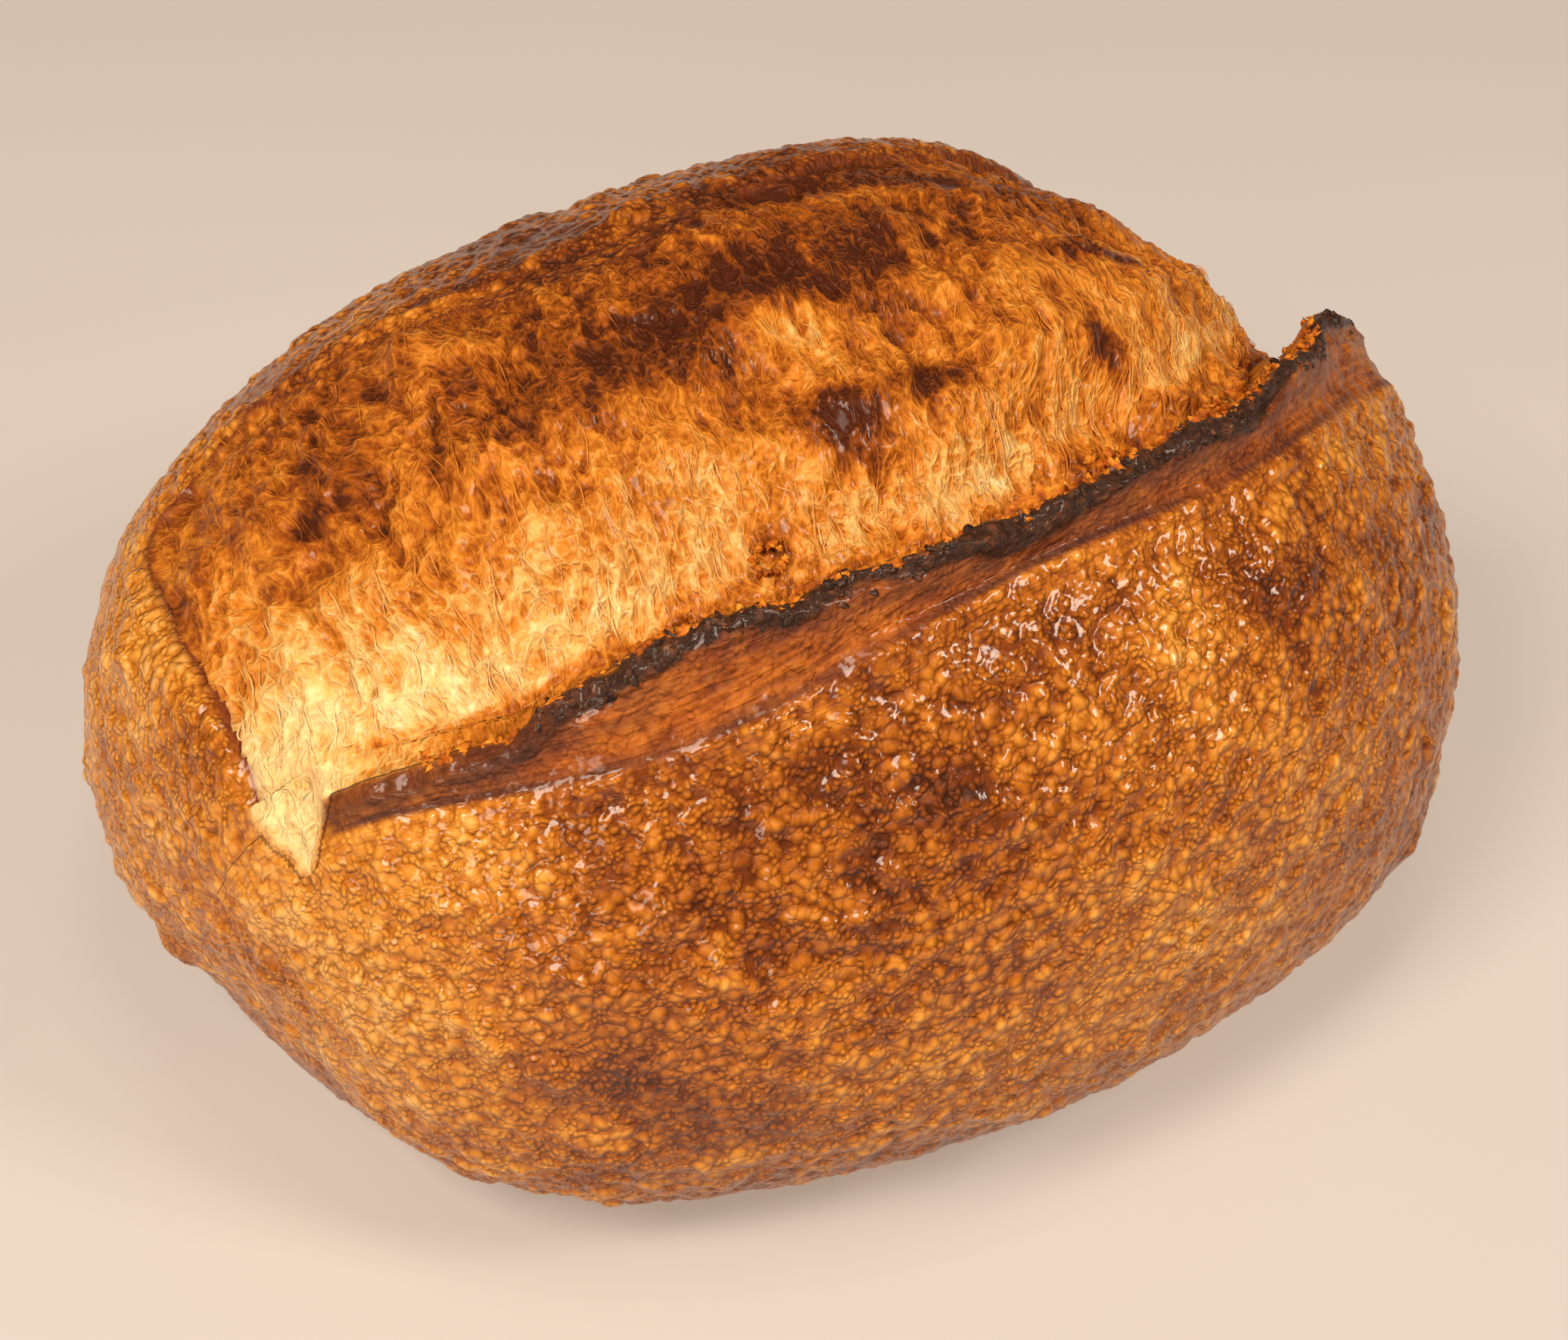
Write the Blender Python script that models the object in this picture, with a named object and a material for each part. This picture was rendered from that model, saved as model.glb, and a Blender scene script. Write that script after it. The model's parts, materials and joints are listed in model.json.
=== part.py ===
"""A country loaf: a hand-shaped oval hearth bread with one long slash.

The whole loaf is one solid, lofted from sections across its length. The slash has opened
into a raised crust ear along the front, and a wide bloom of torn crumb behind the ear ends
at the low edge of the back crust. X runs along the loaf, -Y is the front, the base is at Z 0.
"""

import bmesh
import bpy
import numpy as np

# Driving dimensions of the loaf, in metres
LEFT_REACH = 0.1080
RIGHT_REACH = 0.1180
FRONT_REACH = 0.0850
BACK_REACH = 0.0890
HEIGHT = 0.1220
GIRTH_LEVEL = 0.0400
BASE_SINK = 0.0140
BASE_EDGE = 0.0040

# The underside stands on a few low places of its rim, and the rim is lifted a little between them
RESTS = 4
REST_DEPTH = 0.0001
REST_LIFT = 0.0003
REST_MARGIN = 0.0005

# How square the outlines are: 2 is an ellipse, more is squarer
FRONT_LEFT_SQUARENESS = 1.97
PLAN_SQUARENESS = 2.32
TOP_SQUARENESS = 2.05
LOW_SQUARENESS = 2.30

# The slash in plan: the front crust's edge bows towards the front, the bloom lies behind it, and
# the bloom's left end leans outwards from the slash's left tip
EDGE_MIDDLE_Y = -0.0572
EDGE_SKEW = 0.080
EDGE_BOW = 3.45
EDGE_WANDER = 0.0022
WANDER_LENGTH = 0.110
WANDER_PEAK_X = 0.014
LEFT_TIP_X = -0.0900
TIP_LEAN = 0.16
RIGHT_TIP_X = 0.1120
BLOOM_WIDTH = 0.0880
BLOOM_SQUARENESS = 3.4

# The smooth band between the crust's edge and the ear's lip: its width at places along the loaf
BAND_WIDTHS = (
    (-0.098, 0.0035),
    (-0.075, 0.0045),
    (-0.060, 0.0055),
    (-0.045, 0.0105),
    (-0.030, 0.0120),
    (-0.010, 0.0085),
    (0.005, 0.0060),
    (0.019, 0.0040),
    (0.030, 0.0048),
    (0.043, 0.0062),
    (0.060, 0.0066),
    (0.078, 0.0095),
    (0.100, 0.0140),
)

# How far one band width eases into the next, and the girth below which the ear shrinks with it
BAND_EASE = 0.008
SHORT_GIRTH = 0.160

# The ear along the loaf: how soon it starts at the left tip and is full grown, and how fast it stops
EAR_LEFT_X = -0.0835
EAR_START = 0.008
START_SHARE = 0.30
EAR_GROWTH = 0.044
EAR_STOP = 0.006

# The ear's sizes, square to the crust
LIP_RISE = 0.0045
CRAG_RISE = 0.0012
VALLEY_DEPTH = 0.0080
VALLEY_REACH = 0.0280
BACK_EDGE_STEP = 0.0016
BACK_EDGE_WIDTH = 0.0035

# Across the ear: how many band widths from the crust's edge, how much further from there, and
# the rise over the crust as a share of the lip's rise, or of the valley's depth below it
EAR_PROFILE = (
    (0.0, -0.0045, 0.00),
    (0.0, -0.0018, 0.16),
    (0.0, 0.0000, 0.10),
    (0.2, 0.0000, 0.00),
    (0.5, 0.0000, 0.28),
    (0.8, 0.0000, 0.72),
    (1.0, 0.0000, 1.00),
    (1.0, 0.0018, 0.94),
    (1.0, 0.0027, 0.55),
    (1.0, 0.0023, -0.20),
    (1.0, 0.0016, -0.62),
    (1.0, 0.0024, -0.95),
    (1.0, 0.0050, -0.98),
)

# Softer forms on the hand-shaped loaf: place, spread, and height square to the crust
SWELLS = (
    ((0.028, 0.045, 0.110), 0.040, 0.0030),
    ((0.062, 0.046, 0.100), 0.026, 0.0023),
    ((0.080, 0.034, 0.086), 0.022, -0.0030),
    ((0.106, -0.008, 0.080), 0.016, 0.0050),
    ((-0.101, 0.030, 0.055), 0.030, 0.0018),
    ((-0.099, -0.025, 0.025), 0.030, -0.0090),
    ((-0.060, -0.066, 0.018), 0.030, 0.0020),
)

# Torn hollows in the bloom: place in plan, spread and depth
POCKETS = (
    ((0.018, -0.012), 0.010, 0.0030),
    ((-0.010, -0.016), 0.008, 0.0020),
    ((0.047, -0.030), 0.009, 0.0040),
)

# The lip's crags: their length along it, and how they shift from one row to the next
CRAG_LENGTH = 0.011
CRAG_DRIFT = 0.004

# Uneven relief: height, and the spacing of its lumps
BLOOM_RELIEF = 0.0009
BLOOM_LUMP = 0.021
CRUST_RELIEF = 0.0007
CRUST_LUMP = 0.048
BLISTER_RISE = 0.0007
BLISTER_SPACING = 0.015

# Mesh density
STATIONS = 84
FRONT_ROWS = 17
BACK_ROWS = 25
ROW_CROWDING = 1.3
OUTLINE_SAMPLES = 721
SEED = 11

CRUST_COLOUR = (0.47, 0.19, 0.05, 1.0)
CRUST_ROUGHNESS = 0.45


def smooth_step(value, low, high):
    """0 below low, 1 above high, and a smooth ramp between them."""
    t = np.clip((value - low) / (high - low), 0.0, 1.0)
    return t * t * (3.0 - 2.0 * t)


def bell(distance, width):
    """A smooth bump of height 1, about twice its width across."""
    return np.exp(-((distance / width) ** 2))


def ripple(points, wavelength, seed, waves=9):
    """A smooth uneven field from -1 to 1: plane waves of one length in seeded directions."""
    draw = np.random.default_rng(seed)
    total = np.zeros(points.shape[:-1])
    for _ in range(waves):
        direction = draw.normal(size=3)
        direction *= 2.0 * np.pi / wavelength / np.linalg.norm(direction)
        total += np.sin(points @ direction + draw.uniform(0.0, 2.0 * np.pi))
    return total / np.sqrt(2.0 * waves)


def plan_squareness(x, y):
    """How square the loaf's outline in plan is: its front left corner is cut back."""
    return np.where((x < 0) & (y < 0), FRONT_LEFT_SQUARENESS, PLAN_SQUARENESS)


def section(x):
    """The smooth outline across station x, from the base's centre up the front and round: y, z."""
    reach = LEFT_REACH if x < 0 else RIGHT_REACH
    turn = np.linspace(-np.pi, np.pi, OUTLINE_SAMPLES)
    side = np.sin(turn)
    power = plan_squareness(x, side)
    along = abs(x / reach) ** power
    half_width = np.where(side < 0, FRONT_REACH, BACK_REACH)
    half_width = half_width * (1.0 - along) ** (1.0 / power)
    radial = along + (1.0 - along) * np.abs(side) ** power
    radial = np.clip(radial, 0.0, 1.0) ** (1.0 / power)
    high = (1.0 - radial**TOP_SQUARENESS) ** (1.0 / TOP_SQUARENESS)
    low = (1.0 - radial**LOW_SQUARENESS) ** (1.0 / LOW_SQUARENESS)
    z = np.where(
        np.cos(turn) > 0,
        GIRTH_LEVEL + (HEIGHT - GIRTH_LEVEL) * high,
        GIRTH_LEVEL - (GIRTH_LEVEL + BASE_SINK) * low,
    )
    return half_width * side, flattened(z)


def flattened(z):
    """Heights with everything below the table brought to it, over a rounded rim."""
    rounded = (z + BASE_EDGE) ** 2 / (4.0 * BASE_EDGE)
    return np.where(z > BASE_EDGE, z, np.where(z < -BASE_EDGE, 0.0, rounded))


def crust_normals(points):
    """The directions square to the smooth loaf at points on it."""
    x, y, z = points[..., 0], points[..., 1], points[..., 2]
    reach = np.where(x < 0, LEFT_REACH, RIGHT_REACH)
    half_width = np.where(y < 0, FRONT_REACH, BACK_REACH)
    power = plan_squareness(x, y)
    radial = np.abs(x / reach) ** power + np.abs(y / half_width) ** power
    radial = np.maximum(radial, 1e-9) ** (1.0 / power)
    top = z > GIRTH_LEVEL
    square = np.where(top, TOP_SQUARENESS, LOW_SQUARENESS)
    depth = np.where(top, HEIGHT - GIRTH_LEVEL, GIRTH_LEVEL + BASE_SINK)
    level = (z - GIRTH_LEVEL) / depth
    outward = radial ** (square - power)
    normals = np.stack(
        (
            outward * np.abs(x / reach) ** (power - 1.0) * np.sign(x) / reach,
            outward * np.abs(y / half_width) ** (power - 1.0) * np.sign(y) / half_width,
            np.abs(level) ** (square - 1.0) * np.sign(level) / depth,
        ),
        axis=-1,
    )
    return normals / np.linalg.norm(normals, axis=-1, keepdims=True)


def edge_y(x):
    """The front crust's edge in plan."""
    wander = EDGE_WANDER * np.cos(2.0 * np.pi * (x - WANDER_PEAK_X) / WANDER_LENGTH)
    return EDGE_MIDDLE_Y + EDGE_SKEW * x + EDGE_BOW * x * x + wander


def band_width(x):
    """The band's width at a station, eased between the places that are named."""
    places, widths = np.array(BAND_WIDTHS).T
    near = bell(x - places, BAND_EASE)
    return float(near @ widths / near.sum())


def ear_strength(x):
    """How far the ear stands up along the loaf: it fades in at the left and stops short at the right."""
    start = smooth_step(x, EAR_LEFT_X, EAR_LEFT_X + EAR_START)
    grown = smooth_step(x, EAR_LEFT_X + EAR_START, EAR_LEFT_X + EAR_GROWTH)
    stop = smooth_step(x, RIGHT_TIP_X - EAR_STOP, RIGHT_TIP_X + EAR_STOP / 2)
    return (START_SHARE * start + (1.0 - START_SHARE) * grown) * (1.0 - stop)


def inside_bloom(x, y):
    """Distance in plan from the bloom's back edge and ends, positive inside the bloom."""
    middle, half = (RIGHT_TIP_X + LEFT_TIP_X) / 2, (RIGHT_TIP_X - LEFT_TIP_X) / 2
    behind = np.maximum(y - edge_y(x), 0.0)
    lean = TIP_LEAN * behind * smooth_step(-x, 0.0, 0.05)
    along = np.abs(x + lean - middle) / half + 1e-6
    across = behind / BLOOM_WIDTH + 1e-6
    power = BLOOM_SQUARENESS
    size = (along**power + across**power) ** (1.0 / power)
    slope = size ** (1.0 - power) * np.hypot(
        along ** (power - 1.0) / half, across ** (power - 1.0) / BLOOM_WIDTH
    )
    return (1.0 - size) / slope


def station_places():
    """Stations along the loaf, closer together where its ends turn in."""
    turn = np.linspace(-np.pi / 2, np.pi / 2, STATIONS + 2)[1:-1]
    return np.sin(turn) * np.where(turn < 0, LEFT_REACH, RIGHT_REACH)


def measured(outline):
    """The distance round an outline at each of its points."""
    steps = np.hypot(np.diff(outline[0]), np.diff(outline[1]))
    return np.concatenate(([0.0], np.cumsum(steps)))


def edge_place(x, outline, travel):
    """How far round the outline the front crust's edge lies. It stays on the front of the upper half."""
    quarter = slice(OUTLINE_SAMPLES // 4 + 1, OUTLINE_SAMPLES // 2 + 1)
    side, distance = outline[0][quarter], travel[quarter]
    wanted = max(edge_y(x), 0.9 * side[0])
    return float(np.interp(wanted, side, distance))


def row_places(x, edge, girth):
    """The places of one station's rows along its outline, from the base's centre round to it again."""
    strength = ear_strength(x)
    bands, further, _ = np.array(EAR_PROFILE).T
    room = min(1.0, girth / SHORT_GIRTH)
    across = (bands * band_width(x) + further) * room
    level = np.linspace(across[0], across[-1], len(across))
    ear = edge + strength * across + (1.0 - strength) * level
    front = ear[0] * (1.0 - np.linspace(1.0, 0.0, FRONT_ROWS + 1)[:-1] ** ROW_CROWDING)
    back = np.linspace(0.0, 1.0, BACK_ROWS + 2)[1:-1] ** ROW_CROWDING
    return np.concatenate((front, ear, ear[-1] + (girth - ear[-1]) * back))


def ear_rise(x):
    """The rise of every row of one station that the ear alone gives, with its crags."""
    rows = np.arange(len(EAR_PROFILE))
    share = np.array(EAR_PROFILE)[:, 2]
    along = np.stack((np.full(len(rows), x), rows * CRAG_DRIFT, 0.0 * rows), axis=-1)
    crag = CRAG_RISE * ripple(along, CRAG_LENGTH, SEED) * smooth_step(share, 0.3, 0.9)
    height = np.where(share > 0, LIP_RISE * share, VALLEY_DEPTH * share)
    return ear_strength(x) * (height + crag)


def bloom_rise(points, from_lip, strength):
    """The rise of the rows behind the ear, all above the base: valley, torn face and back edge."""
    x, y, z = points[..., 0], points[..., 1], points[..., 2]
    valley = 1.0 - smooth_step(from_lip, 0.0, VALLEY_REACH)
    inside = inside_bloom(x, y)
    torn = smooth_step(inside, 0.0, 2.0 * BACK_EDGE_WIDTH)
    rise = -VALLEY_DEPTH * strength * valley
    rise -= BACK_EDGE_STEP * smooth_step(inside, -BACK_EDGE_WIDTH / 2, BACK_EDGE_WIDTH / 2)
    rise += BLOOM_RELIEF * torn * ripple(points, BLOOM_LUMP, SEED + 1)
    for (place_x, place_y), spread, depth in POCKETS:
        rise -= depth * bell(np.hypot(x - place_x, y - place_y), spread)
    return rise * smooth_step(z, BASE_EDGE, GIRTH_LEVEL)


def body_rise(points):
    """The rise over the whole loaf: its softer swells, and the blisters that are large enough."""
    rise = CRUST_RELIEF * ripple(points, CRUST_LUMP, SEED + 2)
    rise += BLISTER_RISE * np.maximum(ripple(points, BLISTER_SPACING, SEED + 3), 0.0) ** 2
    for place, spread, height in SWELLS:
        rise += height * bell(np.linalg.norm(points - place, axis=-1), spread)
    return rise * smooth_step(points[..., 2], BASE_EDGE / 2, GIRTH_LEVEL / 2)


def station_rows(x):
    """The loop of points across station x."""
    outline = section(x)
    travel = measured(outline)
    edge = edge_place(x, outline, travel)
    places = row_places(x, edge, travel[-1])
    y, z = (np.interp(places, travel, values) for values in outline)
    points = np.stack((np.full(len(places), x), y, z), axis=-1)
    rise = body_rise(points)
    ear = slice(FRONT_ROWS, FRONT_ROWS + len(EAR_PROFILE))
    rise[ear] += ear_rise(x)
    behind = slice(ear.stop, None)
    from_lip = places[behind] - places[ear.stop - 1]
    rise[behind] += bloom_rise(points[behind], from_lip, ear_strength(x))
    return points + crust_normals(points) * rise[:, None]


def centred(points):
    """The points moved so that the middle of the base is the origin."""
    low, high = points.min(axis=0), points.max(axis=0)
    return points - np.array([(low[0] + high[0]) / 2, (low[1] + high[1]) / 2, low[2]])


def rested(points):
    """The points with the underside flat, and its rim lifted between the few places that it rests on."""
    flat = np.nonzero(points[:, 2] <= REST_DEPTH)[0]
    base = points[flat, :2]
    turn = 2.0 * np.pi * (np.arange(RESTS) + 0.5) / RESTS
    outermost = np.argmax(base @ np.stack((np.cos(turn), np.sin(turn))), axis=0)
    corner = base[outermost]
    side = np.roll(corner, -1, axis=0) - corner
    outward = np.stack((side[:, 1], -side[:, 0]), axis=-1)
    outward /= np.linalg.norm(outward, axis=1, keepdims=True)
    beyond = np.max(np.sum((base[:, None] - corner) * outward, axis=-1), axis=1)
    height = np.where(beyond > -REST_MARGIN, REST_LIFT, 0.0)
    height[outermost] = 0.0
    points[flat, 2] = height
    return points


def loaf_mesh():
    """The loaf's closed surface: a loop of points for each station, and a point at either end."""
    places = station_places()
    loops = np.array([station_rows(x) for x in places])
    ends = np.array([[-LEFT_REACH, 0.0, GIRTH_LEVEL], [RIGHT_REACH, 0.0, GIRTH_LEVEL]])
    ends += crust_normals(ends) * body_rise(ends)[:, None]
    points = centred(rested(np.concatenate((loops.reshape(-1, 3), ends))))
    mesh = bmesh.new()
    vertices = [mesh.verts.new(point) for point in points]
    rows = loops.shape[1]
    left_end, right_end = vertices[-2], vertices[-1]
    for row in range(rows):
        after = (row + 1) % rows
        mesh.faces.new((left_end, vertices[after], vertices[row]))
        for station in range(len(places) - 1):
            here, there = station * rows, (station + 1) * rows
            mesh.faces.new(
                (
                    vertices[here + row],
                    vertices[here + after],
                    vertices[there + after],
                    vertices[there + row],
                )
            )
        last = (len(places) - 1) * rows
        mesh.faces.new((right_end, vertices[last + row], vertices[last + after]))
    bmesh.ops.recalc_face_normals(mesh, faces=mesh.faces)
    return mesh


def crust_material():
    """Baked crust, brown and a little glossy."""
    material = bpy.data.materials.new("crust")
    material.use_nodes = True
    shader = material.node_tree.nodes["Principled BSDF"]
    shader.inputs["Base Color"].default_value = CRUST_COLOUR
    shader.inputs["Roughness"].default_value = CRUST_ROUGHNESS
    shader.inputs["Metallic"].default_value = 0.0
    return material


def make_loaf():
    """The loaf as one object, standing on its base."""
    mesh = loaf_mesh()
    data = bpy.data.meshes.new("loaf")
    mesh.to_mesh(data)
    mesh.free()
    data.shade_smooth()
    data.materials.append(crust_material())
    loaf = bpy.data.objects.new("loaf", data)
    bpy.context.scene.collection.objects.link(loaf)
    return loaf


def main():
    for old in list(bpy.data.objects):
        bpy.data.objects.remove(old)
    make_loaf()


main()
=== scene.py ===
"""The looks of the country loaf: blistered crust, a charred ear, and the crumb that the slash tore open.

The loaf's surface is lofted from the same sections as the solid that it stands for, only far
finer, and then raised and sunk by blisters, strands, pores and crags. Lengths are in metres.
"""

import json

import bmesh
import bpy
import numpy as np
from mathutils import Matrix, Vector

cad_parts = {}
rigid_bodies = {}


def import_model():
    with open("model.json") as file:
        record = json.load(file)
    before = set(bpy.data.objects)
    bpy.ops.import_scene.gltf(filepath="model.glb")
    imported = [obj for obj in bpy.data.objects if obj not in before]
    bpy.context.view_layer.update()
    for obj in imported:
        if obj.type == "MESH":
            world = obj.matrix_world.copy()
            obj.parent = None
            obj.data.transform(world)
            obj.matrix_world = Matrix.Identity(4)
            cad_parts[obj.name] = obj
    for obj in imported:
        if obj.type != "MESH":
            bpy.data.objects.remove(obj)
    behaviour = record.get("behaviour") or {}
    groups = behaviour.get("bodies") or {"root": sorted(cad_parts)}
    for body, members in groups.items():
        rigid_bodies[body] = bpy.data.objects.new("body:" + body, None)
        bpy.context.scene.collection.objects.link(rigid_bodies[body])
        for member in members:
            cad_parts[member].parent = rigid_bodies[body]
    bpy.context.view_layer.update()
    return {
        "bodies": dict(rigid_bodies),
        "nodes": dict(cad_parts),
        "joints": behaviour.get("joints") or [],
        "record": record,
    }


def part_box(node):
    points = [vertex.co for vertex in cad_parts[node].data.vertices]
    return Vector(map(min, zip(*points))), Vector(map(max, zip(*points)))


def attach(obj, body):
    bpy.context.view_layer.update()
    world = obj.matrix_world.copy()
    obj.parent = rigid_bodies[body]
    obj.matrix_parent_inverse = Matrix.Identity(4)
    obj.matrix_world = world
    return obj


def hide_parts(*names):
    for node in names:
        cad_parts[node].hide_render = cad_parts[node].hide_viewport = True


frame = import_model()

# The loaf's body, as in the solid
LEFT_REACH = 0.1080
RIGHT_REACH = 0.1180
FRONT_REACH = 0.0850
BACK_REACH = 0.0890
HEIGHT = 0.1220
GIRTH_LEVEL = 0.0400
BASE_SINK = 0.0140
BASE_EDGE = 0.0040
FRONT_LEFT_SQUARENESS = 1.97
PLAN_SQUARENESS = 2.32
TOP_SQUARENESS = 2.05
LOW_SQUARENESS = 2.30

# The slash and its ear, as in the solid
EDGE_MIDDLE_Y = -0.0572
EDGE_SKEW = 0.080
EDGE_BOW = 3.45
EDGE_WANDER = 0.0022
WANDER_LENGTH = 0.110
WANDER_PEAK_X = 0.014
LEFT_TIP_X = -0.0900
TIP_LEAN = 0.16
RIGHT_TIP_X = 0.1120
BLOOM_WIDTH = 0.0880
BLOOM_SQUARENESS = 3.4
BAND_WIDTHS = (
    (-0.098, 0.0035),
    (-0.075, 0.0045),
    (-0.060, 0.0055),
    (-0.045, 0.0105),
    (-0.030, 0.0120),
    (-0.010, 0.0085),
    (0.005, 0.0060),
    (0.019, 0.0040),
    (0.030, 0.0048),
    (0.043, 0.0062),
    (0.060, 0.0066),
    (0.078, 0.0095),
    (0.100, 0.0140),
)
BAND_EASE = 0.008
SHORT_GIRTH = 0.160
EAR_LEFT_X = -0.0835
EAR_START = 0.008
START_SHARE = 0.30
EAR_GROWTH = 0.044
EAR_STOP = 0.006
LIP_RISE = 0.0045
CRAG_RISE = 0.0012
VALLEY_DEPTH = 0.0080
VALLEY_REACH = 0.0280
BACK_EDGE_STEP = 0.0016
BACK_EDGE_WIDTH = 0.0035
EAR_PROFILE = (
    (0.0, -0.0045, 0.00),
    (0.0, -0.0018, 0.16),
    (0.0, 0.0000, 0.10),
    (0.2, 0.0000, 0.00),
    (0.5, 0.0000, 0.28),
    (0.8, 0.0000, 0.72),
    (1.0, 0.0000, 1.00),
    (1.0, 0.0018, 0.94),
    (1.0, 0.0027, 0.55),
    (1.0, 0.0023, -0.20),
    (1.0, 0.0016, -0.62),
    (1.0, 0.0024, -0.95),
    (1.0, 0.0050, -0.98),
)
LIP_STEP = 7
UNDER_LIP_STEP = 8.0
SWELLS = (
    ((0.028, 0.045, 0.110), 0.040, 0.0030),
    ((0.062, 0.046, 0.100), 0.026, 0.0023),
    ((0.080, 0.034, 0.086), 0.022, -0.0030),
    ((0.106, -0.008, 0.080), 0.016, 0.0050),
    ((-0.101, 0.030, 0.055), 0.030, 0.0018),
    ((-0.099, -0.025, 0.025), 0.030, -0.0090),
    ((-0.060, -0.066, 0.018), 0.030, 0.0020),
)
POCKETS = (
    ((0.018, -0.012), 0.010, 0.0030),
    ((-0.010, -0.016), 0.008, 0.0020),
    ((0.047, -0.030), 0.009, 0.0040),
)
CRAG_LENGTH = 0.011
CRAG_DRIFT = 0.004
BLOOM_RELIEF = 0.0009
BLOOM_LUMP = 0.021
CRUST_RELIEF = 0.0007
CRUST_LUMP = 0.048
BLISTER_RISE = 0.0007
BLISTER_SPACING = 0.015
OUTLINE_SAMPLES = 721
SEED = 11

# How fine the visible surface is: stations along the loaf, and rows round it, zone by zone
STATIONS = 640
MERIDIAN_SAMPLES = 4001
BASE_ROWS = 12
FRONT_ROWS = 280
EAR_ROWS = 52
BACK_ROWS = 292
FLAT_SHARE = 0.62
BACK_CROWDING = 0.72

# Blisters in the crust, from large to small: spacing, height, and the share of places that have one
BLISTERS = (
    (0.0052, 0.00075, 0.42),
    (0.0031, 0.00090, 0.72),
    (0.0020, 0.00065, 0.85),
)

# A few larger blisters: centre, radius and height
BIG_BLISTERS = (
    ((-0.0742, -0.0660, 0.0526), 0.0032, 0.0011),
    ((-0.0810, -0.0520, 0.0600), 0.0040, 0.0008),
    ((-0.0300, -0.0800, 0.0350), 0.0034, 0.0008),
    ((0.0450, -0.0700, 0.0700), 0.0036, 0.0008),
)

# The crust's unevenness between the blisters: height, size across, seed
CRUST_BUMPS = ((0.00030, 0.009, 71), (0.00034, 0.0030, 74))
CRUST_GRIT = (0.00008, 0.0011, 72)
BLISTER_BEND = 0.0006
BAND_BLISTERS = 0.55

# Pores and strands in the torn crumb: strands as width, length and height
PORE_SPACING = 0.0031
PORE_DEPTH = 0.0013
PORE_STRETCH = 2.1
CRUMB_LUMP = 0.0009
CRUMB_LEDGE = 0.0011
HEAP_RISE = 0.0016
STRANDS = (
    (0.0040, 0.0110, 0.00030),
    (0.0021, 0.0060, 0.00022),
    (0.0012, 0.0036, 0.00012),
)

# Places in the crumb that the oven marked or spared, in plan on the standing loaf: centre, spreads
# along x and y, and how much darker or paler. The last two pale places, at the crumb's pointed end, are
# partly painted light
SCORCHES = (
    ((-0.0055, 0.0010), (0.0130, 0.0050), 0.55),
    ((-0.0030, -0.0255), (0.0080, 0.0045), 0.50),
    ((0.0140, -0.0230), (0.0070, 0.0035), 0.50),
    ((0.0446, -0.0182), (0.0035, 0.0035), 0.65),
    ((-0.0300, -0.0080), (0.0160, 0.0070), 0.25),
    ((-0.0761, -0.0010), (0.0050, 0.0030), 0.25),
    ((0.0520, -0.0370), (0.0230, 0.0060), 0.30),
    ((0.0162, 0.0065), (0.0040, 0.0060), 0.35),
    ((0.0050, 0.0330), (0.0200, 0.0060), 0.45),
    ((0.0550, 0.0020), (0.0120, 0.0022), 0.40),
    ((0.0330, 0.0250), (0.0140, 0.0025), 0.35),
    ((-0.0186, -0.0384), (0.0035, 0.0030), 0.45),
    ((-0.0010, -0.0330), (0.0120, 0.0060), 0.12),
)
PALE_PLACES = (
    ((-0.0040, -0.0083), (0.0060, 0.0055), 0.42),
    ((-0.0267, -0.0150), (0.0045, 0.0060), 0.22),
    ((0.0149, -0.0398), (0.0075, 0.0050), 0.30),
    ((0.0750, 0.0000), (0.0180, 0.0200), 0.04),
    # These two, at the crumb's pointed end, are partly paler crumb and partly painted light where that end
    # faces away from the lamps
    ((-0.0850, -0.0300), (0.0150, 0.0170), 0.26),
    ((-0.0915, -0.0410), (0.0060, 0.0060), 0.20),
)

# The pale places that are hollows too
CAVITIES = PALE_PLACES[:3]
CAVITY_DEPTH = 0.0028

# The crumb's pointed end, in front of where the ear begins: its left side and its right side, in plan
NOTCH_LEFT = ((-0.0907, -0.0300), (-0.0866, -0.0404))
NOTCH_RIGHT = ((-0.0866, -0.0404), (-0.0825, -0.0372))
NOTCH_DEPTH = 0.0010

# Where the crumb meets the back crust: raggedness of that edge, and where it dips towards the ear,
# as centre, spread and depth
RAGGED_EDGE = 0.0022
EDGE_DIP = ((-0.020, 0.022), 0.022, 0.0085)

# The camera: direction and distance from what it looks at, its roll, and its view across
CAMERA_AZIMUTH = -24.0
CAMERA_ELEVATION = 42.5
CAMERA_DISTANCE = 0.487
CAMERA_ROLL = 0.9
CAMERA_VIEW = 30.0
CAMERA_TARGET = (-0.0004, -0.0009, 0.0439)
SENSOR_WIDTH = 36.0

# Paint that every point of the surface carries
PAINT = ("bake", "char", "crease", "mottle", "cell", "pore", "torn", "tone", "ear")

# How baked the crumb is by the ear, and how much browner it gets: amount, from and to how far behind
BAKE_BY_EAR = 0.27
BAKE_STEPS = ((0.20, 0.004, 0.020), (0.17, 0.016, 0.032))
BAKE_FAR = (0.16, 0.030, 0.052)
FAR_LEFT_PALER = (0.45, 0.035, 0.060)
RIGHT_TIP_BROWNER = (0.30, 0.098, 0.108)
FRINGE_BAKE = 0.64
FRINGE_REACH = (0.0010, 0.0045)

# The char: how far it reaches down the front of the lip, the steps of the ear's profile where it
# gives way to torn crumb, and the places along the loaf between which it sets in
CHAR_WIDTH = 0.0024
CHAR_STEPS = (7.3, 8.1)
CHAR_FULL = (-0.066, -0.050)

# The band below the lip: its dark crease, its singed strip, the place where it glows, as amount,
# place along the loaf and spread, and its darker left
CREASE_WIDTH = 0.0013
SINGE_WIDTH = 0.0032
SINGE_BELOW = 0.0022
BAND_GLOW = (0.24, -0.034, 0.022)
BAND_LEFT_DARKER = (0.16, 0.050, 0.066)

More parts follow.
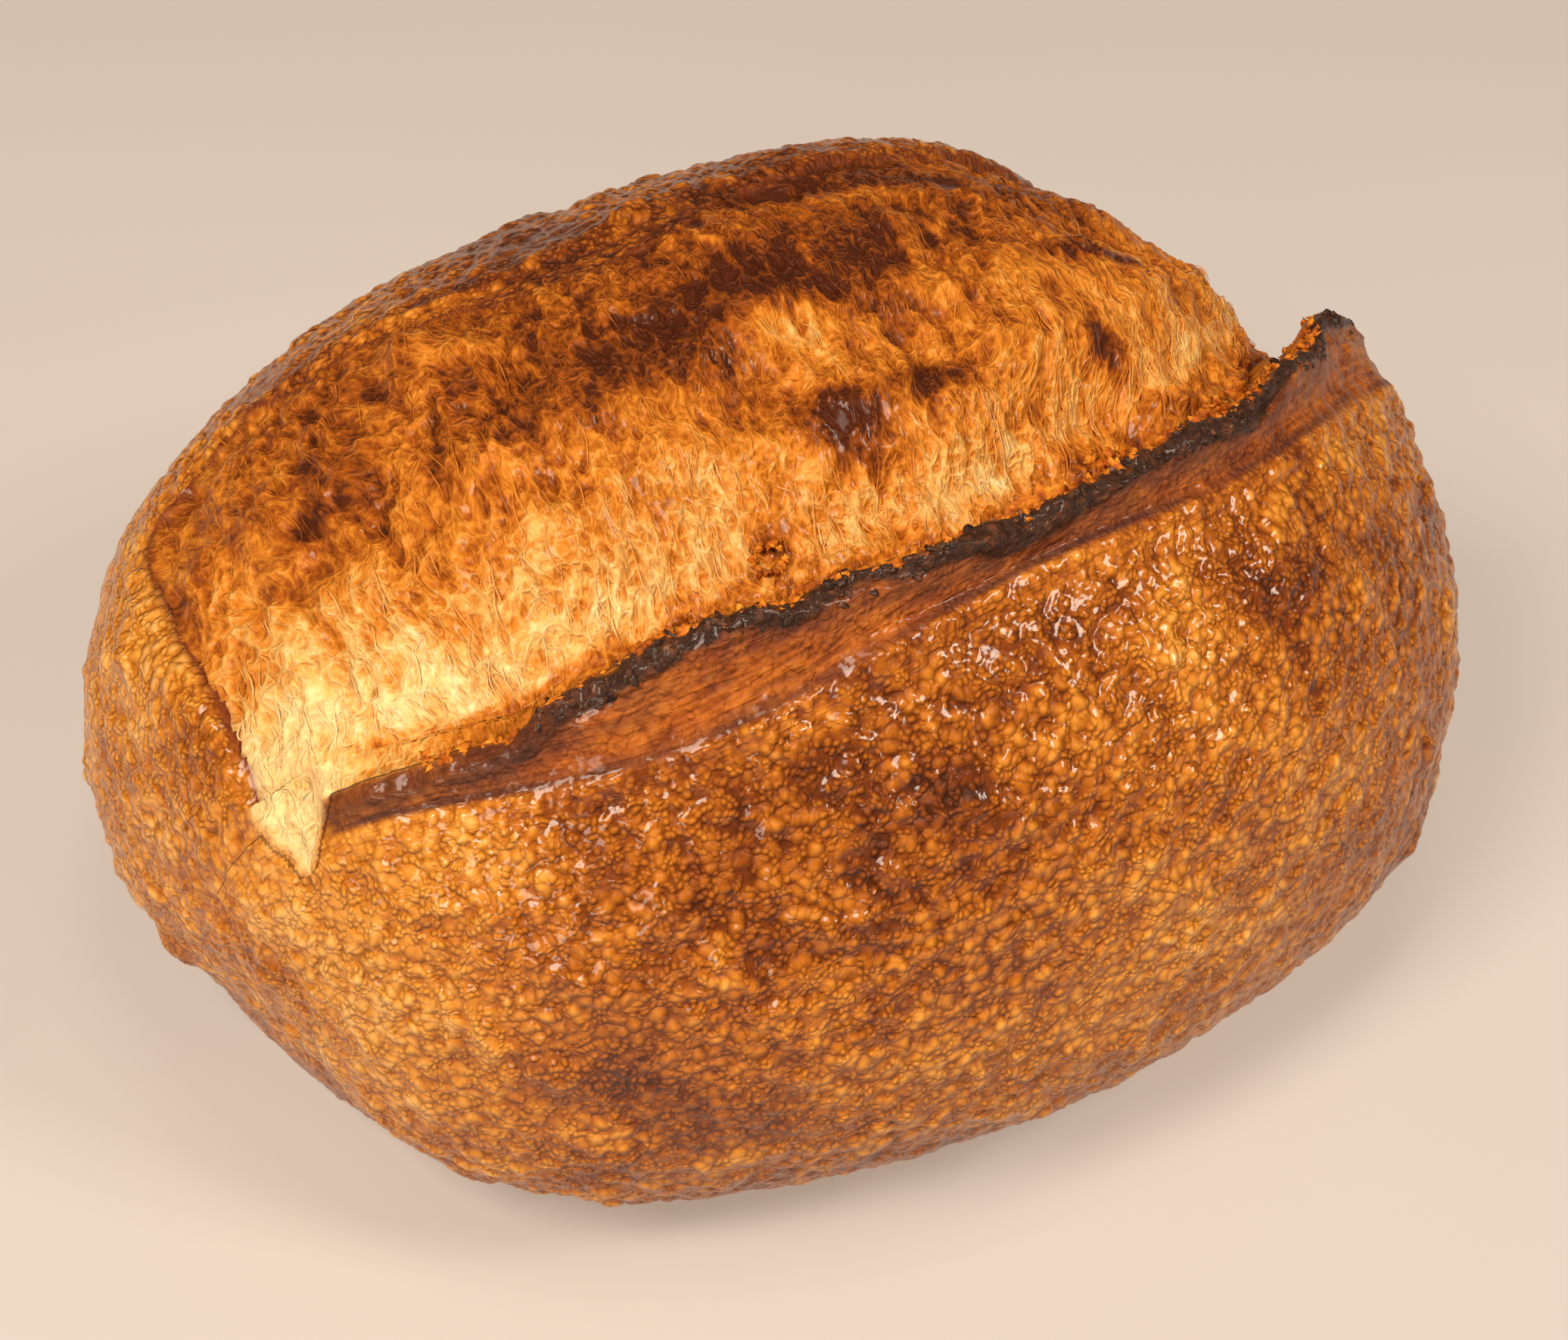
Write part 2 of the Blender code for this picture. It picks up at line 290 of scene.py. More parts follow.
# The back crust beside the crumb: how far it is scorched, how much, and less so at the left
BACK_SCORCH = 0.0080
SCORCH_SHARE = (0.34, 0.30)
SCORCH_LEFT = (0.30, -0.086, -0.062)

# Places on the crust that are paler or darker than the rest, partly its own tone and partly painted light
# and shade, paler at the left end and darker over the front middle: centre, spread, shift
CRUST_TONES_AND_LIGHT = (
    ((-0.0250, -0.0720, 0.0800), 0.0320, -0.20),
    ((0.0300, -0.0650, 0.0950), 0.0240, 0.06),
    ((-0.0840, -0.0500, 0.0600), 0.0320, 0.25),
    ((-0.0600, -0.0760, 0.0400), 0.0220, -0.10),
    ((-0.0900, 0.0200, 0.0600), 0.0350, 0.31),
    ((0.0150, -0.0850, 0.0560), 0.0220, 0.07),
    ((0.0554, -0.0580, 0.0918), 0.0110, -0.22),
    ((-0.0090, -0.0730, 0.0850), 0.0070, -0.20),
    ((0.0950, -0.0300, 0.0700), 0.0300, -0.02),
    ((-0.0950, -0.0300, 0.0450), 0.0120, -0.12),
    ((-0.0200, 0.0500, 0.1050), 0.0350, -0.16),
)

# Colours as stops: the crumb's from pale to burnt, all others from dark to pale
CRUST_RAMP = (
    (0.00, (0.060, 0.014, 0.004)),
    (0.20, (0.190, 0.040, 0.004)),
    (0.45, (0.430, 0.124, 0.008)),
    (0.70, (0.650, 0.255, 0.028)),
    (0.92, (0.780, 0.400, 0.100)),
)
CRUMB_RAMP = (
    (0.00, (0.860, 0.630, 0.290)),
    (0.25, (0.780, 0.420, 0.115)),
    (0.50, (0.640, 0.215, 0.018)),
    (0.75, (0.330, 0.078, 0.005)),
    (1.00, (0.080, 0.016, 0.004)),
)
CHAR_RAMP = (
    (0.30, (0.016, 0.009, 0.007)),
    (0.55, (0.050, 0.020, 0.011)),
    (0.75, (0.170, 0.055, 0.020)),
)
BAND_RAMP = (
    (0.00, (0.050, 0.012, 0.008)),
    (0.35, (0.200, 0.040, 0.010)),
    (0.65, (0.420, 0.105, 0.012)),
    (1.00, (0.680, 0.260, 0.040)),
)
TOAST_RAMP = (
    (0.30, (0.140, 0.028, 0.004)),
    (0.45, (0.400, 0.090, 0.006)),
    (0.60, (0.640, 0.210, 0.014)),
    (0.75, (0.760, 0.340, 0.040)),
)
EDGE_BROWN = (0.160, 0.034, 0.009)
CREASE_COLOUR = (0.075, 0.023, 0.014)

# What is taken off the sum of a skin's parts before its colours are looked up
CRUST_DARKER = 0.42
CRUMB_PALER = 0.09
BAND_DARKER = 0.50

# Relief too fine for the surface's points: beads as scale and reach, webs as scale along the grain
# and wall, streaks as scale along the grain, and the depths of each material's relief
CRUST_BEADS = ((430.0, 0.62), (900.0, 0.66))
FIBRE_SCALE = (900.0, 200.0, 1.0)
WEB_BEND = (560.0, 280.0, 1.0)
WIDE_WEB = ((420.0, 210.0, 1.0), 0.22)
NARROW_WEB = ((980.0, 520.0, 1.0), 0.26)
BAND_SCALE = (560.0, 70.0, 1.0)
CRUST_DEPTH = 0.00090
CRUMB_DEPTH = 0.00070
EAR_DEPTH = 0.00080

# Gloss: roughness of glossy crust and how much duller torn crumb is, and the thin coat over the crust
CRUST_ROUGHNESS = 0.36
CRUMB_DULLER = 0.24
COAT_WEIGHT = 0.60
COAT_ROUGHNESS = 0.12
COAT_IOR = 1.45
SPECULAR_LEVEL = 0.12

# The surface under the loaf, and the room
FLOOR_SIZE = 1.5
FLOOR_COLOUR = (0.34, 0.335, 0.33)
FLOOR_SHADE = (0.32, 0.31, 0.305)
FLOOR_GLOW = (0.345, 0.268, 0.214)
ROOM_COLOUR = (1.0, 0.80, 0.62)
ROOM_LIGHT = 0.13

# Lamps: name, azimuth, elevation, distance, size, power, colour
LIGHTS = (
    ("key", -62.0, 52.0, 0.90, (0.30, 0.30), 6.8, (1.0, 0.86, 0.71)),
    ("fill", 42.0, 46.0, 0.95, (0.24, 0.24), 5.0, (1.0, 0.87, 0.73)),
    ("top", 10.0, 84.0, 0.95, (0.24, 0.24), 2.0, (1.0, 0.85, 0.70)),
    ("low", -48.0, 16.0, 1.00, (0.30, 0.22), 2.4, (1.0, 0.86, 0.71)),
)

# Loose bits: torn strands on the crumb, char and toasted bits along the lip
STRAND_COUNT = 420
STRAND_POINTS = 7
STRAND_SIDES = 3
STRAND_RADIUS = (0.00007, 0.00017)
STRAND_ROWS = (6.0, 18.0)
STRAND_REACH = 200
CHAR_BITS = 420
TOAST_BITS = 760

# Torn flakes: place along the ear, reach and height
FLAKE_STEP = 10.0
FLAKE_RINGS = 4
FLAKE_CORNERS = 28
FLAKE_THICKNESS = 0.00022
FLAKES = (
    (0.0210, 0.0046, 0.0030),
    (0.0155, 0.0030, 0.0022),
    (0.0290, 0.0026, 0.0020),
    (-0.0150, 0.0028, 0.0022),
    (-0.0190, 0.0032, 0.0024),
    (-0.0010, 0.0022, 0.0018),
    (0.0490, 0.0030, 0.0022),
    (0.0580, 0.0034, 0.0026),
    (0.0700, 0.0030, 0.0022),
)

# Torn knobs: centre in plan, radius and number of bits
KNOBS = (
    ((0.0410, -0.0430), 0.0034, 60),
    ((-0.0205, -0.0395), 0.0022, 34),
    ((0.0600, -0.0385), 0.0030, 44),
    ((0.0700, -0.0350), 0.0026, 34),
)


def smooth_step(value, low, high):
    """0 below low, 1 above high, and a smooth ramp between them."""
    t = np.clip((value - low) / (high - low), 0.0, 1.0)
    return t * t * (3.0 - 2.0 * t)


def bell(distance, width):
    """A smooth bump of height 1, about twice its width across."""
    return np.exp(-((distance / width) ** 2))


def ripple(points, wavelength, seed, waves=9):
    """A smooth uneven field from -1 to 1: plane waves of one length in seeded directions."""
    draw = np.random.default_rng(seed)
    total = np.zeros(points.shape[:-1])
    for _ in range(waves):
        direction = draw.normal(size=3)
        direction *= 2.0 * np.pi / wavelength / np.linalg.norm(direction)
        total += np.sin(points @ direction + draw.uniform(0.0, 2.0 * np.pi))
    return total / np.sqrt(2.0 * waves)


def hashed(cell, seed):
    """A steady random number from 0 to 1 for each lattice cell."""
    x, y, z = (cell[..., axis].astype(np.int64).astype(np.uint32) for axis in range(3))
    key = x * np.uint32(73856093) ^ y * np.uint32(19349663) ^ z * np.uint32(83492791)
    key = key ^ np.uint32((seed * 2654435761) & 0xFFFFFFFF)
    key = (key ^ (key >> np.uint32(15))) * np.uint32(2246822519)
    key = (key ^ (key >> np.uint32(13))) * np.uint32(3266489917)
    return (key ^ (key >> np.uint32(16))) / 4294967295.0


def turned(points, seed):
    """The points in axes turned at random, so that no lattice shows along the loaf's own axes."""
    draw = np.random.default_rng(seed)
    axes, _ = np.linalg.qr(draw.normal(size=(3, 3)))
    return points @ axes + draw.uniform(-1.0, 1.0, size=3)


def noise(points, size, seed):
    """An uneven field from -1 to 1, with lumps about `size` across."""
    spots = turned(points, seed) / size
    cell = np.floor(spots)
    part = spots - cell
    ease = part * part * (3.0 - 2.0 * part)
    total = np.zeros(points.shape[:-1])
    for corner in np.ndindex(2, 2, 2):
        weight = np.prod(np.where(corner, ease, 1.0 - ease), axis=-1)
        total += weight * hashed(cell + corner, seed)
    return 2.0 * total - 1.0


def rough(points, size, seed, octaves=3):
    """Noise with finer noise upon it, from about -1 to 1."""
    layers = [noise(points, size / 2**n, seed + n) / 2**n for n in range(octaves)]
    return sum(layers) / (2.0 - 2.0 ** (1 - octaves))


def domes(points, spacing, seed, share, least=0.34, most=0.74):
    """Round bumps scattered about `spacing` apart, from 0 between them to 1 on the tallest."""
    spots = turned(points, seed) / spacing
    cell = np.floor(spots)
    tallest = np.zeros(points.shape[:-1])
    for step in np.ndindex(3, 3, 3):
        home = cell + step - 1.0
        centre = home + np.stack([hashed(home, seed + axis) for axis in range(3)], axis=-1)
        size = hashed(home, seed + 3)
        reach = least + (most - least) * size
        away = np.linalg.norm(spots - centre, axis=-1) / reach
        height = np.clip(1.0 - away**2, 0.0, 1.0) ** 0.8 * (0.5 + 0.5 * size)
        tallest = np.maximum(tallest, height * (hashed(home, seed + 4) < share))
    return tallest


def plan_squareness(x, y):
    """How square the loaf's outline in plan is: its front left corner is cut back."""
    return np.where((x < 0) & (y < 0), FRONT_LEFT_SQUARENESS, PLAN_SQUARENESS)


def outline_turns():
    """The turns at which an outline is sampled, from the base's centre up the front and round."""
    return np.linspace(-np.pi, np.pi, OUTLINE_SAMPLES)


def section(x):
    """The smooth outline across station x, from the base's centre up the front and round: y, z."""
    reach = LEFT_REACH if x < 0 else RIGHT_REACH
    turn = outline_turns()
    side = np.sin(turn)
    power = plan_squareness(x, side)
    along = abs(x / reach) ** power
    half_width = np.where(side < 0, FRONT_REACH, BACK_REACH)
    half_width = half_width * (1.0 - along) ** (1.0 / power)
    radial = along + (1.0 - along) * np.abs(side) ** power
    radial = np.clip(radial, 0.0, 1.0) ** (1.0 / power)
    high = (1.0 - radial**TOP_SQUARENESS) ** (1.0 / TOP_SQUARENESS)
    low = (1.0 - radial**LOW_SQUARENESS) ** (1.0 / LOW_SQUARENESS)
    z = np.where(
        np.cos(turn) > 0,
        GIRTH_LEVEL + (HEIGHT - GIRTH_LEVEL) * high,
        GIRTH_LEVEL - (GIRTH_LEVEL + BASE_SINK) * low,
    )
    return half_width * side, flattened(z)


def flattened(z):
    """Heights with everything below the table brought to it, over a rounded rim."""
    rounded = (z + BASE_EDGE) ** 2 / (4.0 * BASE_EDGE)
    return np.where(z > BASE_EDGE, z, np.where(z < -BASE_EDGE, 0.0, rounded))


def crust_normals(points):
    """The directions square to the smooth loaf at points on it."""
    x, y, z = points[..., 0], points[..., 1], points[..., 2]
    reach = np.where(x < 0, LEFT_REACH, RIGHT_REACH)
    half_width = np.where(y < 0, FRONT_REACH, BACK_REACH)
    power = plan_squareness(x, y)
    radial = np.abs(x / reach) ** power + np.abs(y / half_width) ** power
    radial = np.maximum(radial, 1e-9) ** (1.0 / power)
    top = z > GIRTH_LEVEL
    square = np.where(top, TOP_SQUARENESS, LOW_SQUARENESS)
    depth = np.where(top, HEIGHT - GIRTH_LEVEL, GIRTH_LEVEL + BASE_SINK)
    level = (z - GIRTH_LEVEL) / depth
    outward = radial ** (square - power)
    normals = np.stack(
        (
            outward * np.abs(x / reach) ** (power - 1.0) * np.sign(x) / reach,
            outward * np.abs(y / half_width) ** (power - 1.0) * np.sign(y) / half_width,
            np.abs(level) ** (square - 1.0) * np.sign(level) / depth,
        ),
        axis=-1,
    )
    return normals / np.linalg.norm(normals, axis=-1, keepdims=True)


def edge_y(x):
    """The front crust's edge in plan."""
    wander = EDGE_WANDER * np.cos(2.0 * np.pi * (x - WANDER_PEAK_X) / WANDER_LENGTH)
    return EDGE_MIDDLE_Y + EDGE_SKEW * x + EDGE_BOW * x * x + wander


def band_width(x):
    """The band's width at a station, eased between the places that are named."""
    places, widths = np.array(BAND_WIDTHS).T
    near = bell(x - places, BAND_EASE)
    return float(near @ widths / near.sum())


def ear_strength(x):
    """How far the ear stands up along the loaf: it fades in at the left and stops short at the right."""
    start = smooth_step(x, EAR_LEFT_X, EAR_LEFT_X + EAR_START)
    grown = smooth_step(x, EAR_LEFT_X + EAR_START, EAR_LEFT_X + EAR_GROWTH)
    stop = smooth_step(x, RIGHT_TIP_X - EAR_STOP, RIGHT_TIP_X + EAR_STOP / 2)
    return (START_SHARE * start + (1.0 - START_SHARE) * grown) * (1.0 - stop)


def inside_bloom(x, y):
    """Distance in plan from the bloom's back edge and ends, positive inside the bloom."""
    middle, half = (RIGHT_TIP_X + LEFT_TIP_X) / 2, (RIGHT_TIP_X - LEFT_TIP_X) / 2
    behind = np.maximum(y - edge_y(x), 0.0)
    lean = TIP_LEAN * behind * smooth_step(-x, 0.0, 0.05)
    along = np.abs(x + lean - middle) / half + 1e-6
    across = behind / BLOOM_WIDTH + 1e-6
    power = BLOOM_SQUARENESS
    size = (along**power + across**power) ** (1.0 / power)
    slope = size ** (1.0 - power) * np.hypot(
        along ** (power - 1.0) / half, across ** (power - 1.0) / BLOOM_WIDTH
    )
    return (1.0 - size) / slope


def measured(outline):
    """The distance round an outline at each of its points."""
    steps = np.hypot(np.diff(outline[0]), np.diff(outline[1]))
    return np.concatenate(([0.0], np.cumsum(steps)))


def edge_place(x, outline, travel):
    """How far round the outline the front crust's edge lies. It stays on the front of the upper half."""
    quarter = slice(OUTLINE_SAMPLES // 4 + 1, OUTLINE_SAMPLES // 2 + 1)
    side, distance = outline[0][quarter], travel[quarter]
    wanted = max(edge_y(x), 0.9 * side[0])
    return float(np.interp(wanted, side, distance))


def softened(values):
    """A run of numbers with its corners rounded, and its ends kept."""
    for _ in range(3):
        inner = (values[:-2] + 2.0 * values[1:-1] + values[2:]) / 4.0
        values = np.concatenate((values[:1], inner, values[-1:]))
    return values


def ear_profile():
    """The ear's profile in fine steps: step number, band widths, distance further, and rise."""
    step = np.linspace(0, len(EAR_PROFILE) - 1, EAR_ROWS)
    columns = np.array(EAR_PROFILE).T
    return step, *(softened(np.interp(step, range(len(EAR_PROFILE)), column)) for column in columns)


def row_places(x, edge, outline_travel):
    """The places of one station's rows along its outline, from the base's centre round to it again."""
    girth = outline_travel[-1]
    rim = np.arcsin(FLAT_SHARE)
    front_rim, back_rim = np.interp((-np.pi + rim, np.pi - rim), outline_turns(), outline_travel)
    _, bands, further, _ = ear_profile()
    strength = ear_strength(x)
    across = (bands * band_width(x) + further) * min(1.0, girth / SHORT_GIRTH)
    level = np.linspace(across[0], across[-1], EAR_ROWS)
    ear = edge + strength * across + (1.0 - strength) * level
    base_front = np.linspace(0.0, front_rim, BASE_ROWS + 1)[:-1]
    front = np.linspace(front_rim, ear[0], FRONT_ROWS + 1)[:-1]
    share = np.linspace(0.0, 1.0, BACK_ROWS + 1)[1:]
    share = BACK_CROWDING * share + (1.0 - BACK_CROWDING) * share**2
    back = ear[-1] + (back_rim - ear[-1]) * share
    base_back = np.linspace(back_rim, girth, BASE_ROWS + 1)[1:-1]
    return np.concatenate((base_front, front, ear, back, base_back))


def ear_rise(x):
    """The rise of every row of one station that the ear alone gives, with its crags."""
    step, _, _, share = ear_profile()
    along = np.stack((np.full(EAR_ROWS, x), step * CRAG_DRIFT, 0.0 * step), axis=-1)
    crag = CRAG_RISE * ripple(along, CRAG_LENGTH, SEED) * smooth_step(share, 0.3, 0.9)
    height = np.where(share > 0, LIP_RISE * share, VALLEY_DEPTH * share)
    return ear_strength(x) * (height + crag)


def bloom_rise(points, from_ear, strength):
    """The rise of the rows behind the ear, all above the base: valley, torn face and back edge."""
    x, y, z = points[..., 0], points[..., 1], points[..., 2]
    valley = 1.0 - smooth_step(from_ear, 0.0, VALLEY_REACH)
    inside = inside_bloom(x, y)
    torn = smooth_step(inside, 0.0, 2.0 * BACK_EDGE_WIDTH)
    rise = -VALLEY_DEPTH * strength * valley
    rise -= BACK_EDGE_STEP * smooth_step(inside, -BACK_EDGE_WIDTH / 2, BACK_EDGE_WIDTH / 2)
    rise += BLOOM_RELIEF * torn * ripple(points, BLOOM_LUMP, SEED + 1)
    for (place_x, place_y), spread, depth in POCKETS:
        rise -= depth * bell(np.hypot(x - place_x, y - place_y), spread)
    return rise * smooth_step(z, BASE_EDGE, GIRTH_LEVEL)


def body_rise(points):
    """The rise over the whole loaf: its softer swells, and the blisters that are large enough."""
    rise = CRUST_RELIEF * ripple(points, CRUST_LUMP, SEED + 2)
    rise += BLISTER_RISE * np.maximum(ripple(points, BLISTER_SPACING, SEED + 3), 0.0) ** 2
    for place, spread, height in SWELLS:
        rise += height * bell(np.linalg.norm(points - place, axis=-1), spread)
    return rise * smooth_step(points[..., 2], BASE_EDGE / 2, GIRTH_LEVEL / 2)


LIP_ROW = round(LIP_STEP * (EAR_ROWS - 1) / (len(EAR_PROFILE) - 1))
EAR = slice(BASE_ROWS + FRONT_ROWS, BASE_ROWS + FRONT_ROWS + EAR_ROWS)
BEHIND = slice(EAR.stop, None)


def stations():
    """Places along the loaf, evenly spaced over its surface from end to end."""
    side = np.sin(np.linspace(-np.pi / 2, np.pi / 2, MERIDIAN_SAMPLES))
    x = side * np.where(side < 0, LEFT_REACH, RIGHT_REACH)
    width = FRONT_REACH * (1.0 - np.abs(side) ** PLAN_SQUARENESS) ** (1.0 / PLAN_SQUARENESS)
    travel = measured((x, width))
    return np.interp(np.linspace(0.0, travel[-1], STATIONS + 2)[1:-1], travel, x)


def station_rows(x):
    """The loop of points across station x, the crust's directions there, and the places of its rows."""
    outline = section(x)
    travel = measured(outline)
    edge = edge_place(x, outline, travel)
    places = row_places(x, edge, travel)
    y, z = (np.interp(places, travel, values) for values in outline)
    points = np.stack((np.full(len(places), x), y, z), axis=-1)
    normals = crust_normals(points)
    rise = body_rise(points)
    rise[EAR] += ear_rise(x)
    from_ear = places[BEHIND] - places[EAR.stop - 1]
    rise[BEHIND] += bloom_rise(points[BEHIND], from_ear, ear_strength(x))
    return points + normals * rise[:, None], normals, points, places - edge


def left_of(points, line):
    """How far points lie to the left of a line in plan, seen along it."""
    (x, y), (to_x, to_y) = line
    length = np.hypot(to_x - x, to_y - y)
    return ((to_x - x) * (points[..., 1] - y) - (to_y - y) * (points[..., 0] - x)) / length


class Surface:
    """The loaf's surface as a grid, station by row, and what each of its points is part of."""

    def __init__(self):
        places = stations()
        loops = [station_rows(x) for x in places]
        self.points, self.normals, plain, self.from_edge = (np.array(part) for part in zip(*loops))
        self.strength = np.array([ear_strength(x) for x in places])[:, None]
        self.inside = inside_bloom(plain[..., 0], plain[..., 1])
        self.notch = np.minimum(left_of(plain, NOTCH_LEFT), left_of(plain, NOTCH_RIGHT))
        self.begun = smooth_step(plain[..., 0], EAR_LEFT_X - 0.0005, EAR_LEFT_X + 0.0025)
        self.along = np.broadcast_to(measured((places, 0.0 * places))[:, None], self.inside.shape)
        self.step = np.zeros(self.inside.shape)
        self.step[:, EAR] = ear_profile()[0]
        self.from_ear = self.from_edge - self.from_edge[:, EAR.stop - 1 : EAR.stop]
        self.stand_in_place()
        self.name_zones()

    def stand_in_place(self):
        """Moves the surface to where the solid stands."""
        low, high = self.points.min(axis=(0, 1)), self.points.max(axis=(0, 1))
        box_low, box_high = (np.array(corner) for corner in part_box("loaf"))
        shift = (box_low + box_high - low - high) / 2
        shift[2] = box_low[2] - low[2]
        self.points += shift
        self.ends = np.array([[-LEFT_REACH, 0.0, GIRTH_LEVEL], [RIGHT_REACH, 0.0, GIRTH_LEVEL]])
        self.ends += crust_normals(self.ends) * body_rise(self.ends)[:, None] + shift

    def name_zones(self):
        """How much each point belongs to the ear, to the torn crumb and to the plain crust."""
        dip, spread, depth = EDGE_DIP
        away = np.hypot(self.points[..., 0] - dip[0], self.points[..., 1] - dip[1])
        ragged = RAGGED_EDGE * rough(self.points, 0.012, SEED + 20)
        self.inside = self.inside + ragged - depth * bell(away, spread)
        self.ear = self.begun * smooth_step(self.from_edge, -0.0012, 0.0002)
        self.ear[:, EAR.stop :] = 0.0
        torn = smooth_step(np.minimum(self.inside, self.notch + 0.4 * ragged), -0.0004, 0.0012)
        self.crumb = torn * (1.0 - self.begun) * (self.points[..., 2] > GIRTH_LEVEL)
        self.crumb[:, BEHIND] = smooth_step(self.inside[:, BEHIND], -0.0004, 0.0012)
        self.crust = (1.0 - self.ear) * (1.0 - self.crumb)

    def face_directions(self):
        """The directions square to the finished surface."""
        along = np.gradient(self.points, axis=0)
        padded = np.concatenate((self.points[:, -1:], self.points, self.points[:, :1]), axis=1)
        across = (padded[:, 2:] - padded[:, :-2]) / 2
        return unit(np.cross(along, across))


def grain_spots(surface):
    """Places in the crumb measured along its strands, which run back from the ear and wander."""
    points = surface.points
    wander = 0.0035 * noise(points, 0.020, SEED + 30) + 0.0012 * noise(points, 0.006, SEED + 31)
    back = surface.from_ear + 0.0040 * noise(points, 0.018, SEED + 32)
    grain = np.stack((surface.along + wander, back, 0.0 * back), axis=-1)
    along_ear = np.stack((surface.from_edge, surface.along, 0.0 * back), axis=-1)
    outer = (surface.step < UNDER_LIP_STEP) & (surface.crumb <= 0.0) & (surface.from_ear < 0.0)
    return np.where(outer[..., None], along_ear, grain)


def stepped(value, steps):
    """The value in rounded stairs."""
    scaled = value * steps
    floor = np.floor(scaled)
    return (floor + smooth_step(scaled - floor, 0.30, 0.70)) / steps


def marked(points, places):
    """The sum of soft oval spots in plan: centre, spreads along x and y, strength."""
    total = np.zeros(points.shape[:-1])
    for (x, y), (spread_x, spread_y), strength in places:
        away = np.hypot((points[..., 0] - x) / spread_x, (points[..., 1] - y) / spread_y)
        total += strength * bell(away, 1.0)
    return total


def shaken(points, size, seed):
    """A vector from -1 to 1 along each axis at every point, with lumps about `size` across."""
    return np.stack([noise(points, size, seed + axis) for axis in range(3)], axis=-1)


def blister_heights(surface):
    """The height in metres of the crust's blisters and of the finer bumps between them."""
    points = surface.points
    wanted = (surface.crust > 0) | (surface.ear > 0)
    spots = points[wanted]
    bent = spots + BLISTER_BEND * shaken(spots, 0.0045, SEED + 60)
    rise = np.zeros(len(spots))
    for number, (spacing, height, share) in enumerate(BLISTERS):
        layer = height * domes(bent, spacing, SEED + 40 + 7 * number, share)
        rise = np.maximum(rise, layer) + 0.45 * np.minimum(rise, layer)
    rise *= 0.75 + 0.35 * noise(spots, 0.014, SEED + 70)
    for centre, size, height in BIG_BLISTERS:
        away = np.linalg.norm(spots - centre, axis=-1) / size
        rise = np.maximum(rise, height * np.clip(1.0 - away**2, 0.0, 1.0) ** 0.6)
    for height, size, seed in CRUST_BUMPS:
        rise += height * rough(spots, size, SEED + seed)
    height, size, seed = CRUST_GRIT
    rise += height * noise(spots, size, SEED + seed)
    heights = np.zeros(points.shape[:-1])
    heights[wanted] = rise * smooth_step(spots[:, 2], 0.0010, 0.0080)
    in_band = surface.ear * smooth_step(UNDER_LIP_STEP - surface.step, 0.0, 1.0)
    return heights * np.maximum(surface.crust, BAND_BLISTERS * in_band)


def torn_mass(surface):
    """Where browned torn crumb is heaped up behind the ear, which is mostly at its right."""
    x = surface.points[..., 0]
    share = 0.60 * smooth_step(x, -0.060, -0.030) + 0.40 * smooth_step(x, 0.020, 0.034)
    reach = 0.0066 + 0.0052 * smooth_step(x, 0.022, 0.040)
    ragged = surface.from_ear + 0.0024 * rough(surface.points, 0.0060, SEED + 116)
    return share * (1.0 - smooth_step(ragged / reach, 0.45, 1.15)) * surface.crumb


def pore_depths(spots, points):
    """How deep in a pore each place of the crumb is, from 0 to 1. Pores are longer along the grain."""
    stretch = spots / (1.0, PORE_STRETCH, 1.0) + 0.0007 * shaken(points, 0.004, SEED + 110)
    pores = domes(stretch, PORE_SPACING, SEED + 100, 0.50)
    small = domes(stretch, 0.55 * PORE_SPACING, SEED + 107, 0.55)
    patchy = np.clip(0.75 + 0.6 * noise(points, 0.011, SEED + 113), 0.15, 1.0)
    return np.maximum(pores, 0.7 * small) * patchy


def crumb_heights(surface, grain):
    """The torn crumb's relief in metres, and how deep in a pore each point is, from 0 to 1."""
    wanted = surface.crumb > 0
    spots, points = grain[wanted], surface.points[wanted]
    rise = CRUMB_LUMP * rough(points, 0.014, SEED + 80)
    rise += CRUMB_LEDGE * stepped(rough(points, 0.017, SEED + 84), 3.0)
    for number, (thin, long, height) in enumerate(STRANDS):
        field = noise(spots / (thin, long, 1.0), 1.0, SEED + 90 + number)
        patchy = 0.65 + 0.6 * noise(points, 0.013, SEED + 95 + number)
        rise += height * patchy * (1.0 - 2.2 * np.abs(field))
    pores = pore_depths(spots, points)
    rise -= PORE_DEPTH * pores**0.6
    rise += HEAP_RISE * surface.mass[wanted] * (0.7 + 0.9 * rough(points, 0.0042, SEED + 115))
    rise -= CAVITY_DEPTH * marked(points, CAVITIES)
    heights, depth = np.zeros(surface.crumb.shape), np.zeros(surface.crumb.shape)
    heights[wanted], depth[wanted] = rise, pores
    ease = np.maximum(smooth_step(surface.from_ear, 0.0, 0.0020), 1.0 - surface.begun)
    sunk = NOTCH_DEPTH * smooth_step(surface.notch, 0.0, 0.0015) * (1.0 - surface.begun)
    return (heights * np.maximum(ease, 0.25) - sunk) * surface.crumb, depth * surface.crumb


def lip_moves(surface):
    """The ear's ragged lip and streaked band: rise in metres, and slide towards the back."""
    points = surface.points
    near = surface.ear * bell(surface.step - LIP_STEP, 1.9) * np.clip(surface.strength + 0.15, 0.0, 1.0)
    rise = near * (0.0013 * rough(points, 0.0060, SEED + 110) + 0.0007 * rough(points, 0.0018, SEED + 114))
    slide = near * (0.0016 * rough(points, 0.0080, SEED + 118) + 0.0008 * rough(points, 0.0024, SEED + 122))
    streaks = np.stack((surface.along / 0.020, surface.from_edge / 0.0013, 0.0 * surface.along), axis=-1)
    rise += surface.ear * (1.0 - near) * 0.00028 * rough(streaks, 1.0, SEED + 126)
    return rise, slide


